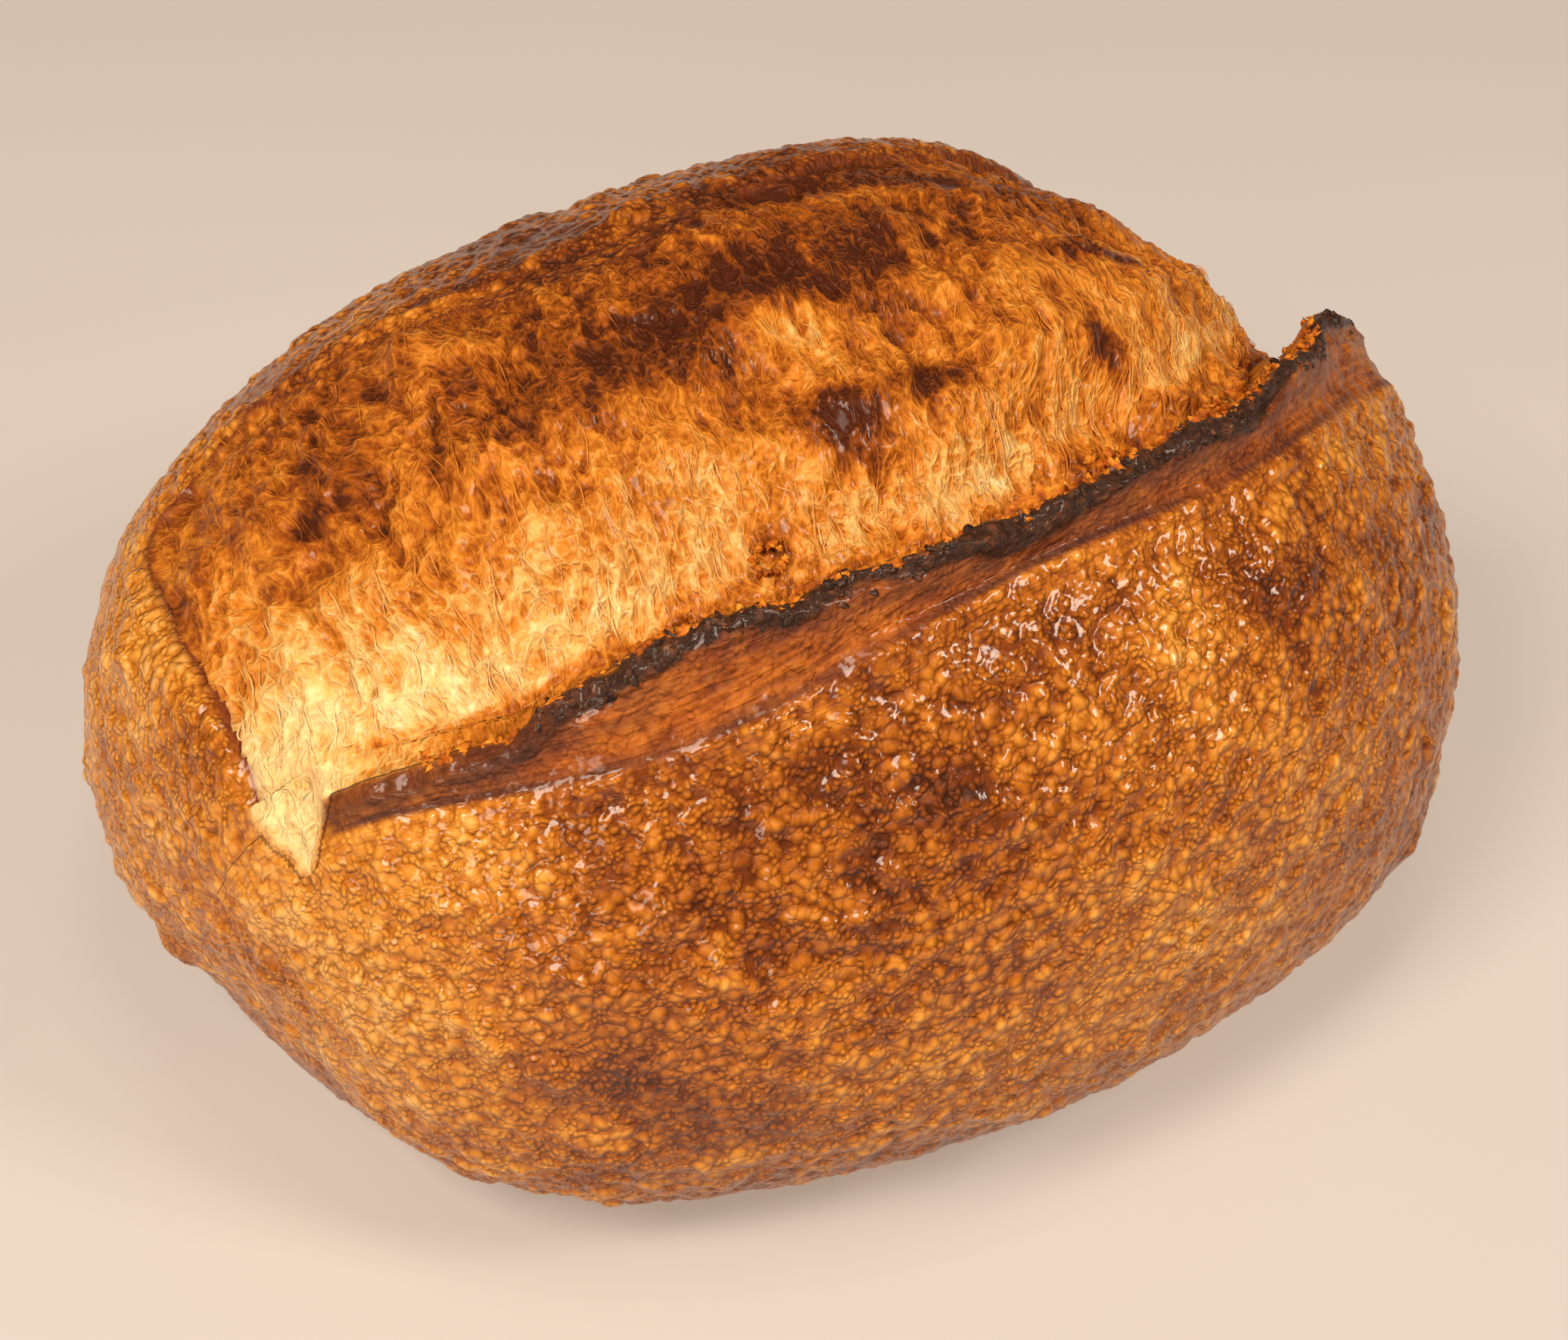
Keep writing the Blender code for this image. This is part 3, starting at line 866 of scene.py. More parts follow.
def raise_relief(surface):
    """Moves the surface's points by all the fine relief, and keeps what the colours need."""
    grain = grain_spots(surface)
    surface.mass = torn_mass(surface)
    blisters = blister_heights(surface)
    crumb, surface.pore = crumb_heights(surface, grain)
    lip, slide = lip_moves(surface)
    n = surface.normals
    towards_back = unit(np.stack((0.0 * n[..., 0], n[..., 2], -n[..., 1]), axis=-1))
    surface.points += n * (blisters + crumb + lip)[..., None] + towards_back * slide[..., None]
    surface.points[..., 2] = np.maximum(surface.points[..., 2], 0.0)
    surface.cell = np.clip(blisters / 0.0010, 0.0, 1.0)
    surface.grain = grain


def paint_bake(surface):
    """How baked the crumb is at each point, from 0 pale to 1 burnt, and paler at its pointed end as painted
    light.
    """
    points, back = surface.points, surface.from_ear
    x = points[..., 0]
    bake = BAKE_BY_EAR + sum(amount * smooth_step(back, *reach) for amount, *reach in BAKE_STEPS)
    amount, *reach = BAKE_FAR
    paler, *where = FAR_LEFT_PALER
    bake += amount * smooth_step(back, *reach) * (1.0 - paler * smooth_step(-x, *where))
    bake += 0.10 * noise(surface.grain / (0.0016, 0.0110, 1.0), 1.0, SEED + 130)
    bake += 0.15 * rough(points, 0.018, SEED + 131) + 0.16 * rough(points, 0.0050, SEED + 134)
    bake += marked(points, SCORCHES) * (1.0 + 0.6 * rough(points, 0.0050, SEED + 137))
    # Pale places: less baked crumb, and at the crumb's pointed end painted light as well
    bake -= marked(points, PALE_PLACES)
    fringe = 1.0 - smooth_step(back + 0.0015 * noise(points, 0.006, SEED + 140), *FRINGE_REACH)
    bake = np.maximum(bake, FRINGE_BAKE * fringe * np.clip(2.0 * surface.strength, 0.0, 1.0))
    heap = 0.66 + 0.34 * rough(points, 0.0038, SEED + 160)
    bake += surface.mass * (np.maximum(heap, bake) - bake)
    amount, *reach = RIGHT_TIP_BROWNER
    surface.bake = np.clip(bake + amount * smooth_step(x, *reach), 0.0, 1.0)


def paint_ear(surface):
    """The char over the lip, the dark crease and singed strip below it, and the crumb under it."""
    points = surface.points
    lip = surface.from_edge[:, EAR][:, LIP_ROW : LIP_ROW + 1]
    outside = surface.from_edge - lip + 0.0011 * rough(points, 0.0060, SEED + 141)
    ragged = surface.step + 0.9 * rough(points, 0.0060, SEED + 145)
    width = CHAR_WIDTH * (1.0 + 0.45 * noise(points, 0.016, SEED + 147))
    over_lip = smooth_step(outside, -width - 0.0006, -width) * (1.0 - smooth_step(ragged, *CHAR_STEPS))
    surface.char = surface.ear * over_lip * (0.35 + 0.65 * smooth_step(points[..., 0], *CHAR_FULL))
    below = surface.from_edge + 0.0003 - 0.0006 * noise(points, 0.005, SEED + 146)
    crease = bell(below, CREASE_WIDTH) * np.clip(0.80 + 0.50 * noise(points, 0.010, SEED + 144), 0.0, 1.0)
    patchy = np.clip(0.50 + 0.65 * rough(points, 0.0050, SEED + 148), 0.0, 0.85)
    singe = bell(outside + SINGE_BELOW, SINGE_WIDTH) * patchy * (1.0 - smooth_step(surface.step, 7.6, 8.4))
    surface.crease = np.maximum(crease, singe) * surface.ear
    inner = np.zeros(points.shape[:-1])
    ragged = surface.step[:, EAR] + 0.5 * noise(points[:, EAR], 0.003, SEED + 156)
    inner[:, EAR] = smooth_step(ragged, *CHAR_STEPS)
    surface.torn = np.maximum(surface.crumb, inner * surface.begun)


def paint_crust(surface):
    """How pale the crust is at each point: mottled, scorched beside the crumb, glowing in the band, and
    painted paler or darker in places as light and shade.
    """
    points = surface.points
    x = points[..., 0]
    mottle = 0.5 + 0.34 * rough(points, 0.022, SEED + 150) + 0.22 * rough(points, 0.0050, SEED + 153)
    beside = bell(np.minimum(surface.inside, 0.0), BACK_SCORCH) * (surface.from_ear > 0.010)
    least, *reach = SCORCH_LEFT
    beside *= least + (1.0 - least) * smooth_step(x, *reach)
    streaks = np.stack((x / 0.020, surface.inside / 0.0014, 0.0 * x), axis=-1)
    mottle -= beside * (SCORCH_SHARE[0] + SCORCH_SHARE[1] * noise(streaks, 1.0, SEED + 158))
    glow, place, spread = BAND_GLOW
    glow = glow * bell(x - place, spread) * bell(surface.step - 4.3, 2.2)
    darker, *reach = BAND_LEFT_DARKER
    mottle += surface.ear * (glow - darker * smooth_step(-x, *reach))
    surface.mottle = np.clip(mottle, 0.0, 1.4)
    # Tones: partly the crust's own tone, partly painted light and shade, paler at the left end and darker
    # over the front middle
    surface.tone = marked_space(points, CRUST_TONES_AND_LIGHT)


def marked_space(points, places):
    """The sum of soft round spots in space: centre, spread, strength."""
    total = np.zeros(points.shape[:-1])
    for centre, spread, strength in places:
        total += strength * bell(np.linalg.norm(points - centre, axis=-1), spread)
    return total


def piece_quads(surface, chosen):
    """The corners of the chosen cells of the grid, in the order that faces outwards."""
    rows = surface.points.shape[1]
    station, row = np.nonzero(chosen)
    after = (row + 1) % rows
    here, there = station * rows, (station + 1) * rows
    return np.stack((here + row, there + row, there + after, here + after), axis=-1)


def end_fans(surface):
    """The triangles that close the two ends of the loaf."""
    count, rows = surface.points.shape[:2]
    row = np.arange(rows)
    after = (row + 1) % rows
    first, last = count * rows, (count - 1) * rows
    left = np.stack((np.full(rows, first), row, after), axis=-1)
    right = np.stack((np.full(rows, first + 1), last + after, last + row), axis=-1)
    return np.concatenate((left, right))


def with_ends(values, ends):
    """A grid of values as one list, with the values of the two end points after it."""
    flat = values.reshape(-1, *values.shape[2:])
    return np.concatenate((flat, ends))


def surface_tables(surface):
    """Every point of the surface in one list: places, normals and paint."""
    points = with_ends(surface.points, surface.ends)
    normals = with_ends(surface.face_directions(), np.array([[-1.0, 0.0, 0.0], [1.0, 0.0, 0.0]]))
    paint = {}
    for name in PAINT:
        values = getattr(surface, name)
        paint[name] = with_ends(values, [values[0, 0]] * 2)
    paint["grain"] = with_ends(surface.grain, [[0.0, 0.0, 0.0]] * 2)
    return points, normals, paint


def surface_piece(name, tables, faces, material):
    """One piece of the loaf's surface, with its paint."""
    points, normals, paint = tables
    every = np.concatenate([block.reshape(-1) for block in faces])
    used, corners = np.unique(every, return_inverse=True)
    polygons, start = [], 0
    for block in faces:
        polygons += corners[start : start + block.size].reshape(block.shape).tolist()
        start += block.size
    mesh = bpy.data.meshes.new(name)
    mesh.from_pydata(points[used].tolist(), [], polygons)
    mesh.shade_smooth()
    mesh.normals_split_custom_set_from_vertices(normals[used].tolist())
    for key, values in paint.items():
        painted(mesh, key, values[used])
    mesh.materials.append(material)
    return placed(name, mesh)


def painted(mesh, key, values):
    """Keeps a number or a vector for every point of the mesh."""
    vector = values.ndim > 1
    layer = mesh.attributes.new(key, "FLOAT_VECTOR" if vector else "FLOAT", "POINT")
    flat = np.ascontiguousarray(values, dtype=np.float32).reshape(-1)
    layer.data.foreach_set("vector" if vector else "value", flat)


def placed(name, mesh):
    """The mesh as a piece of the loaf."""
    piece = bpy.data.objects.new(name, mesh)
    bpy.context.scene.collection.objects.link(piece)
    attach(piece, "root")
    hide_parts("loaf")
    return piece


class Graph:
    """Short ways to build a material's nodes."""

    def __init__(self, name):
        self.material = bpy.data.materials.new(name)
        self.material.use_nodes = True
        self.tree = self.material.node_tree
        self.shader = self.tree.nodes["Principled BSDF"]
        self.place = self.add("ShaderNodeTexCoord").outputs["Object"]

    def add(self, kind, inputs=(), **settings):
        made = self.tree.nodes.new(kind)
        for key, value in settings.items():
            setattr(made, key, value)
        for key, value in inputs:
            self.feed(made.inputs[key], value)
        return made

    def feed(self, socket, value):
        if isinstance(value, bpy.types.NodeSocket):
            self.tree.links.new(value, socket)
        else:
            socket.default_value = value

    def paint(self, name):
        return self.add("ShaderNodeAttribute", attribute_name=name).outputs["Fac"]

    def grain(self):
        return self.add("ShaderNodeAttribute", attribute_name="grain").outputs["Vector"]

    def math(self, operation, one, two=0.0, clamp=False, third=0.0):
        inputs = ((0, one), (1, two), (2, third))
        return self.add("ShaderNodeMath", inputs, operation=operation, use_clamp=clamp).outputs[0]

    def blend(self, share, one, two):
        inputs = ((0, share), (2, one), (3, two))
        return self.add("ShaderNodeMix", inputs, data_type="FLOAT").outputs[0]

    def moved(self, vector, amount, scale):
        inputs = ((0, amount), (1, (scale,) * 3), (2, vector))
        return self.add("ShaderNodeVectorMath", inputs, operation="MULTIPLY_ADD").outputs[0]

    def bead(self, vector, scale, reach):
        """Round beads at about one in a cell: 1 on top, 0 from `reach` cells away."""
        cells = self.add("ShaderNodeTexVoronoi", (("Vector", vector), ("Scale", scale)))
        away = self.math("MULTIPLY", cells.outputs["Distance"], 1.0 / reach)
        return self.math("SUBTRACT", 1.0, self.math("MULTIPLY", away, away), clamp=True)

    def spread(self, value, low, high, new_low=0.0, new_high=1.0):
        inputs = ((0, value), (1, low), (2, high), (3, new_low), (4, new_high))
        return self.add("ShaderNodeMapRange", inputs).outputs[0]

    def noise(self, scale, detail=3.0, place=None, roughness=0.55):
        inputs = (("Scale", scale), ("Detail", detail), ("Roughness", roughness))
        return self.add("ShaderNodeTexNoise", (("Vector", place or self.place), *inputs)).outputs["Fac"]

    def drift(self, scale, place=None):
        """A smooth vector field that bends what is laid over it."""
        inputs = (("Vector", place or self.place), ("Scale", scale), ("Detail", 0.0))
        return self.add("ShaderNodeTexNoise", inputs).outputs["Color"]

    def summed(self, start, parts):
        """A start plus each value times its share, kept from 0 to 1."""
        total = start
        for value, share in parts:
            total = self.math("MULTIPLY_ADD", value, share, third=total)
        return self.math("MULTIPLY", total, 1.0, clamp=True)

    def stretched(self, vector, scale):
        inputs = (("Vector", vector), ("Scale", scale))
        return self.add("ShaderNodeMapping", inputs).outputs[0]

    def ramp(self, value, stops):
        made = self.add("ShaderNodeValToRGB", ((0, value),))
        points = made.color_ramp.elements
        while len(points) < len(stops):
            points.new(1.0)
        for point, (place, colour) in zip(points, stops):
            point.position = place
            point.color = (*colour, 1.0)
        return made.outputs["Color"]

    def mix(self, share, one, two):
        made = self.add("ShaderNodeMix", data_type="RGBA")
        for socket, value in zip((made.inputs[0], made.inputs[6], made.inputs[7]), (share, one, two)):
            self.feed(socket, value if isinstance(value, (float, bpy.types.NodeSocket)) else (*value, 1.0))
        return made.outputs[2]

    def bump(self, height, strength, distance):
        inputs = (("Height", height), ("Strength", strength), ("Distance", distance))
        return self.add("ShaderNodeBump", inputs).outputs[0]


def crust_skin(graph):
    """Blistered crust: its colour, and its relief from 0 in the creases to 1 on the beads."""
    spots = graph.moved(graph.place, graph.drift(300.0), 0.0014)
    beads = [graph.bead(spots, scale, reach) for scale, reach in CRUST_BEADS]
    broad = graph.noise(75.0, 2.0)
    large = graph.math("MULTIPLY", beads[0], graph.spread(broad, 0.36, 0.54))
    bead = graph.math("MAXIMUM", large, graph.math("MULTIPLY", beads[1], 0.7))
    parts = (
        (graph.paint("mottle"), 0.52),
        (graph.noise(430.0, 3.0, spots, 0.65), 0.56),
        (broad, 0.26),
        (bead, 0.32),
        (graph.paint("cell"), 0.28),
        # The tones hold painted light and shade as well as the crust's own tone
        (graph.paint("tone"), 1.0),
    )
    return graph.ramp(graph.summed(-CRUST_DARKER, parts), CRUST_RAMP), bead


def fibres(graph, grain, scale):
    """Fine strands along the grain: 1 on a strand, 0 in the gap beside it."""
    streak = graph.noise(1.0, 2.0, graph.stretched(grain, scale))
    ridge = graph.math("ABSOLUTE", graph.math("SUBTRACT", streak, 0.5))
    return graph.spread(ridge, 0.0, 0.16, 1.0, 0.0)


def web(graph, grain, bend, scale, wall):
    """A net of thin walls round stretched cells: 1 on a wall, 0 inside a cell."""
    spots = graph.moved(graph.stretched(grain, scale), bend, 1.0)
    inputs = (("Vector", spots), ("Scale", 1.0))
    cells = graph.add("ShaderNodeTexVoronoi", inputs, feature="DISTANCE_TO_EDGE")
    return graph.spread(cells.outputs["Distance"], 0.0, wall, 1.0, 0.0)


def crumb_skin(graph):
    """Torn crumb: its colour, pale by the ear and browner behind, and its webby relief."""
    grain = graph.grain()
    strand = fibres(graph, grain, FIBRE_SCALE)
    bend = graph.drift(1.0, graph.stretched(grain, WEB_BEND))
    wide, narrow = web(graph, grain, bend, *WIDE_WEB), web(graph, grain, bend, *NARROW_WEB)
    net = graph.math("MAXIMUM", wide, graph.math("MULTIPLY", narrow, 0.7))
    speck = graph.noise(800.0, 2.0)
    parts = (
        (graph.paint("bake"), 1.0),
        (strand, -0.08),
        (net, -0.21),
        (speck, 0.42),
        (graph.paint("pore"), 0.36),
    )
    relief = graph.math("MULTIPLY_ADD", net, 0.70, third=graph.math("MULTIPLY", strand, 0.20))
    relief = graph.math("MULTIPLY_ADD", speck, 0.35, third=relief)
    return graph.ramp(graph.summed(-CRUMB_PALER, parts), CRUMB_RAMP), relief


def finished(graph, colour, relief, rough_share, depth):
    """Joins colour, gloss and relief to the shader. A rough share of 0 is glossy crust."""
    sockets = graph.shader.inputs
    gloss = graph.math("SUBTRACT", 1.0, rough_share)
    roughness = graph.math("MULTIPLY_ADD", rough_share, CRUMB_DULLER, third=CRUST_ROUGHNESS)
    graph.feed(sockets["Base Color"], colour)
    graph.feed(sockets["Roughness"], roughness)
    graph.feed(sockets["Coat Weight"], graph.math("MULTIPLY", gloss, COAT_WEIGHT))
    graph.feed(sockets["Normal"], graph.bump(relief, 1.0, depth))
    sockets["Specular IOR Level"].default_value = SPECULAR_LEVEL
    sockets["Coat Roughness"].default_value = COAT_ROUGHNESS
    sockets["Coat IOR"].default_value = COAT_IOR
    return graph.material


def crust_material():
    """The plain crust, with the dark crease along the ear and the browned edge by the crumb."""
    graph = Graph("baked_crust")
    colour, relief = crust_skin(graph)
    colour = graph.mix(graph.paint("crease"), colour, CREASE_COLOUR)
    colour = graph.mix(graph.math("MULTIPLY", graph.paint("torn"), 1.6, clamp=True), colour, EDGE_BROWN)
    return finished(graph, colour, relief, graph.paint("torn"), CRUST_DEPTH)


def crumb_material():
    """The torn crumb behind the ear."""
    graph = Graph("torn_crumb")
    colour, relief = crumb_skin(graph)
    edge = graph.spread(graph.paint("torn"), 0.5, 1.0, 0.8, 0.0)
    colour = graph.mix(edge, colour, EDGE_BROWN)
    rough_share = graph.spread(graph.paint("bake"), 0.1, 0.8, 0.72, 0.55)
    material = finished(graph, colour, relief, rough_share, CRUMB_DEPTH)
    graph.shader.inputs["Subsurface Weight"].default_value = 0.15
    graph.shader.inputs["Subsurface Radius"].default_value = (1.0, 0.45, 0.18)
    graph.shader.inputs["Subsurface Scale"].default_value = 0.0014
    return material


def ear_material():
    """The ear: streaked crust outside, char over its lip, and torn crumb under it."""
    graph = Graph("charred_ear")
    torn, band = graph.paint("torn"), graph.paint("ear")
    crust, crust_relief = crust_skin(graph)
    crumb, crumb_relief = crumb_skin(graph)
    strand = fibres(graph, graph.grain(), BAND_SCALE)
    lump = graph.noise(330.0, 3.0)
    parts = ((graph.paint("mottle"), 0.5), (strand, 0.34), (lump, 0.9))
    streaked = graph.ramp(graph.summed(-BAND_DARKER, parts), BAND_RAMP)
    crust = graph.mix(graph.math("MULTIPLY", band, 0.72), crust, streaked)
    colour = graph.mix(torn, crust, crumb)
    colour = graph.mix(graph.paint("crease"), colour, CREASE_COLOUR)
    soot = graph.noise(480.0, 3.0)
    sooty = graph.spread(soot, 0.22, 0.42, 0.35, 1.0)
    charred = graph.math("MULTIPLY", graph.paint("char"), sooty, clamp=True)
    colour = graph.mix(charred, colour, graph.ramp(soot, CHAR_RAMP))
    smooth = graph.math("MULTIPLY_ADD", strand, 0.25, third=graph.math("MULTIPLY", crust_relief, 0.6))
    relief = graph.blend(torn, graph.math("ADD", smooth, lump), crumb_relief)
    relief = graph.blend(charred, relief, graph.math("MULTIPLY", soot, 2.4))
    rough_share = graph.math("MAXIMUM", torn, graph.math("MULTIPLY", charred, 0.6))
    rough_share = graph.math("MAXIMUM", rough_share, graph.math("MULTIPLY", band, 0.45))
    return finished(graph, colour, relief, rough_share, EAR_DEPTH)


def cell_zones(surface):
    """Which cells of the grid are torn crumb, in the left half, base, front, ear and behind the ear."""
    torn = surface.crumb[:-1] > 0.5
    left = np.broadcast_to(surface.points[:-1, :1, 0] < 0.0, torn.shape)
    row = np.broadcast_to(np.arange(torn.shape[1]), torn.shape)
    base = (row < BASE_ROWS) | (row > torn.shape[1] - BASE_ROWS)
    front = (row >= BASE_ROWS) & (row < EAR.start)
    ear = (row >= EAR.start) & (row < EAR.stop)
    return torn, left, base, front, ear, (row >= EAR.stop) & ~base


def make_surface():
    """The loaf's visible surface, in pieces."""
    surface = Surface()
    raise_relief(surface)
    paint_bake(surface)
    paint_ear(surface)
    paint_crust(surface)
    tables = surface_tables(surface)
    crust, crumb, ear_skin = crust_material(), crumb_material(), ear_material()
    torn, left, base, front, ear, behind = cell_zones(surface)
    parts = (
        ("crust_front_left", front & left & ~torn, crust, "crust"),
        ("crust_front_right", front & ~left, crust, "crust"),
        ("crust_ear", ear, ear_skin, "crust"),
        ("crust_back_left", behind & ~torn & left, crust, "crust"),
        ("crust_back_right", behind & ~torn & ~left, crust, "crust"),
        ("crumb_left", (behind | front) & torn & left, crumb, "crumb"),
        ("crumb_right", behind & torn & ~left, crumb, "crumb"),
    )
    for name, chosen, material, slot in parts:
        surface_piece(name, tables, [piece_quads(surface, chosen)], material)
    under = [piece_quads(surface, base), end_fans(surface)]
    surface_piece("crust_base", tables, under, crust)
    return surface


def sampled(values, station, row):
    """The grid's values at fractional stations and rows."""
    low_station, low_row = np.floor(station).astype(int), np.floor(row).astype(int)
    low_station = np.clip(low_station, 0, values.shape[0] - 2)
    low_row = np.clip(low_row, 0, values.shape[1] - 2)
    across, along = station - low_station, row - low_row
    if values.ndim > 2:
        across, along = across[..., None], along[..., None]
    near = values[low_station, low_row] * (1.0 - across) + values[low_station + 1, low_row] * across
    far = values[low_station, low_row + 1] * (1.0 - across) + values[low_station + 1, low_row + 1] * across
    return near * (1.0 - along) + far * along


def loose_piece(name, points, faces, paint, material):
    """One piece made of many small closed meshes."""
    mesh = bpy.data.meshes.new(name)
    mesh.from_pydata(points.reshape(-1, 3).tolist(), [], faces.reshape(-1, faces.shape[-1]).tolist())
    mesh.shade_smooth()
    for key, values in paint.items():
        painted(mesh, key, values.reshape(-1))
    mesh.materials.append(material)
    return placed(name, mesh)


def unit(vectors):
    """The vectors at length 1."""
    return vectors / np.maximum(np.linalg.norm(vectors, axis=-1, keepdims=True), 1e-12)


def ear_row(step):
    """The row of the grid at a step of the ear's profile."""
    return EAR.start + step * (EAR_ROWS - 1) / (len(EAR_PROFILE) - 1)


def ear_station(surface, x):
    """The station of the grid where the lip is at x."""
    return np.interp(x, surface.points[:, EAR.start + LIP_ROW, 0], np.arange(STATIONS))


def strand_paths(surface, normals):
    """Curved paths just over the crumb, along its grain: points, outward ways and how baked."""
    draw = np.random.default_rng(SEED + 200)
    station = draw.uniform(8, STATIONS - 9, size=STRAND_COUNT * 4)
    row = BEHIND.start + 1 + STRAND_REACH * draw.uniform(0.0, 1.0, size=len(station)) ** 1.5
    torn = sampled(surface.crumb, station, row)
    baked = sampled(surface.bake, station, row)
    keep = (torn > 0.9) & (draw.uniform(size=len(station)) > 0.55 * baked)
    station, row = station[keep][:STRAND_COUNT], row[keep][:STRAND_COUNT]
    share = np.linspace(0.0, 1.0, STRAND_POINTS)
    length = draw.uniform(*STRAND_ROWS, size=len(row))
    drift = draw.normal(0.0, 2.2, size=len(row))
    bend = draw.normal(0.0, 1.6, size=len(row))
    rows = row[:, None] + length[:, None] * share
    stations_at = station[:, None] + drift[:, None] * share + bend[:, None] * np.sin(np.pi * share)
    stations_at = np.clip(stations_at, 1, STATIONS - 2)
    points, ways = sampled(surface.points, stations_at, rows), sampled(normals, stations_at, rows)
    lift = 0.00005 + draw.uniform(0.00005, 0.00050, size=len(row))[:, None] * np.sin(np.pi * share)
    return points + ways * lift[..., None], ways, sampled(surface.bake, stations_at, rows)


def make_strands(surface, normals):
    """Torn strands lying on the crumb, each a thin tapered thread."""
    points, ways, bake = strand_paths(surface, normals)
    draw = np.random.default_rng(SEED + 201)
    along = np.gradient(points, axis=1)
    side = unit(np.cross(along, ways))
    up = unit(np.cross(side, along))
    taper = np.sin(np.linspace(0.04, np.pi - 0.04, STRAND_POINTS)) ** 0.6
    radius = draw.uniform(*STRAND_RADIUS, size=(len(points), 1)) * taper
    turn = 2.0 * np.pi * np.arange(STRAND_SIDES) / STRAND_SIDES
    ring = side[:, :, None] * np.cos(turn)[:, None] + up[:, :, None] * np.sin(turn)[:, None]
    tube = points[:, :, None] + ring * radius[..., None, None]
    count, rings, sides = tube.shape[:3]
    first = (np.arange(rings - 1) * sides)[:, None]
    here, after = np.arange(sides), (np.arange(sides) + 1) % sides
    quad = np.stack((first + here, first + after, first + sides + after, first + sides + here), axis=-1)
    faces = quad.reshape(1, -1, 4) + (np.arange(count) * rings * sides)[:, None, None]
    paint = {"bake": np.repeat(bake, sides, axis=1)}
    loose_piece("crumb_strands", tube, faces, paint, strand_material())


def pebble():
    """A small round mesh as points and triangles."""
    mesh = bmesh.new()
    bmesh.ops.create_icosphere(mesh, subdivisions=2, radius=1.0)
    points = np.array([vertex.co[:] for vertex in mesh.verts])
    faces = np.array([[vertex.index for vertex in face.verts] for face in mesh.faces])
    mesh.free()
    return points, faces


def bits_at(places, axes, sizes, seed):
    """Rough bits: each a dented pebble, stretched along its first axis."""
    shape, faces = pebble()
    draw = np.random.default_rng(seed)
    dents = 1.0 + 0.34 * draw.normal(size=(len(places), len(shape))).clip(-1.6, 1.6)
    local = shape[None] * dents[..., None] * sizes[:, None, :]
    points = places[:, None] + np.einsum("nkj,nji->nki", local, axes)
    every = faces[None] + (np.arange(len(places)) * len(shape))[:, None, None]
    return points, every


def scattered(surface, normals, station, row, size, sink, seed):
    """Bits on the surface at given stations and rows, lying along the ear and part sunk in."""
    draw = np.random.default_rng(seed)
    points, ways = sampled(surface.points, station, row), sampled(normals, station, row)
    along = sampled(surface.points, station + 1.0, row) - points
    along += 0.6 * draw.normal(size=along.shape) * np.linalg.norm(along, axis=-1, keepdims=True)
    along = unit(along)
    side = unit(np.cross(ways, along))
    axes = np.stack((along, side, np.cross(along, side)), axis=1)
    sizes = size[:, None] * draw.uniform((0.9, 0.5, 0.4), (1.7, 0.9, 0.8), size=(len(size), 3))
    return bits_at(points - ways * (sink * size)[:, None], axes, sizes, seed + 1)


def make_lip_bits(surface, normals):
    """Char flakes over the lip, and toasted bits along its inner side."""
    draw = np.random.default_rng(SEED + 210)
    station = ear_station(surface, draw.uniform(-0.060, 0.108, size=CHAR_BITS))
    row = ear_row(draw.uniform(5.2, 7.8, size=CHAR_BITS))
    size = draw.uniform(0.0004, 0.0010, size=CHAR_BITS) * draw.uniform(0.6, 1.3, size=CHAR_BITS)
    points, faces = scattered(surface, normals, station, row, size, 0.62, SEED + 211)
    loose_piece("char_bits", points, faces, {}, char_material())
    station = ear_station(surface, draw.uniform(-0.075, 0.106, size=TOAST_BITS))
    row = ear_row(draw.uniform(7.3, 10.6, size=TOAST_BITS))
    size = draw.uniform(0.0004, 0.0012, size=TOAST_BITS)
    points, faces = scattered(surface, normals, station, row, size, 0.45, SEED + 213)
    loose_piece("toasted_bits", points, faces, {}, toast_material())


def make_knobs(surface, normals):
    """Torn knobs behind the ear, each a ring of toasted bits round a hole."""
    draw = np.random.default_rng(SEED + 220)
    grid, outward = surface.points[:, BEHIND], normals[:, BEHIND]
    places, sizes = [], []
    for (x, y), reach, count in KNOBS:
        away = np.hypot(grid[..., 0] - x, grid[..., 1] - y) + (grid[..., 2] < GIRTH_LEVEL)
        station, row = np.unravel_index(np.argmin(away), away.shape)
        spot, way = grid[station, row], outward[station, row]
        side = unit(np.cross(way, (0.0, 1.0, 0.0)))
        turn = draw.uniform(0.0, 2.0 * np.pi, size=(count, 1))
        out = reach * (np.cos(turn) * side + np.sin(turn) * np.cross(way, side))
        heap = reach * draw.uniform(-0.1, 0.8, size=(count, 1)) * way
        places.append(spot + out * draw.uniform(0.75, 1.15, size=(count, 1)) + heap)
        sizes.append(reach * draw.uniform(0.10, 0.30, size=(count, 3)))
    places, sizes = np.concatenate(places), np.concatenate(sizes)
    axes = np.array([np.linalg.qr(draw.normal(size=(3, 3)))[0] for _ in places])
    points, faces = bits_at(places, axes, sizes, SEED + 221)
    loose_piece("torn_knobs", points, faces, {}, toast_material())


def flake_frame(surface, normals, x):
    """Where a flake stands on the lip's inner side, and its ways along the ear, up and across."""
    station, row = ear_station(surface, x), np.array(ear_row(FLAKE_STEP))
    spot, way = (sampled(grid, station, row) for grid in (surface.points, normals))
    along = unit(sampled(surface.points, station + 2.0, row) - spot)
    up = np.array((0.0, 0.35, 0.8)) + 0.5 * way
    up = unit(up - along * (up @ along))
    return spot, along, up, np.cross(along, up)


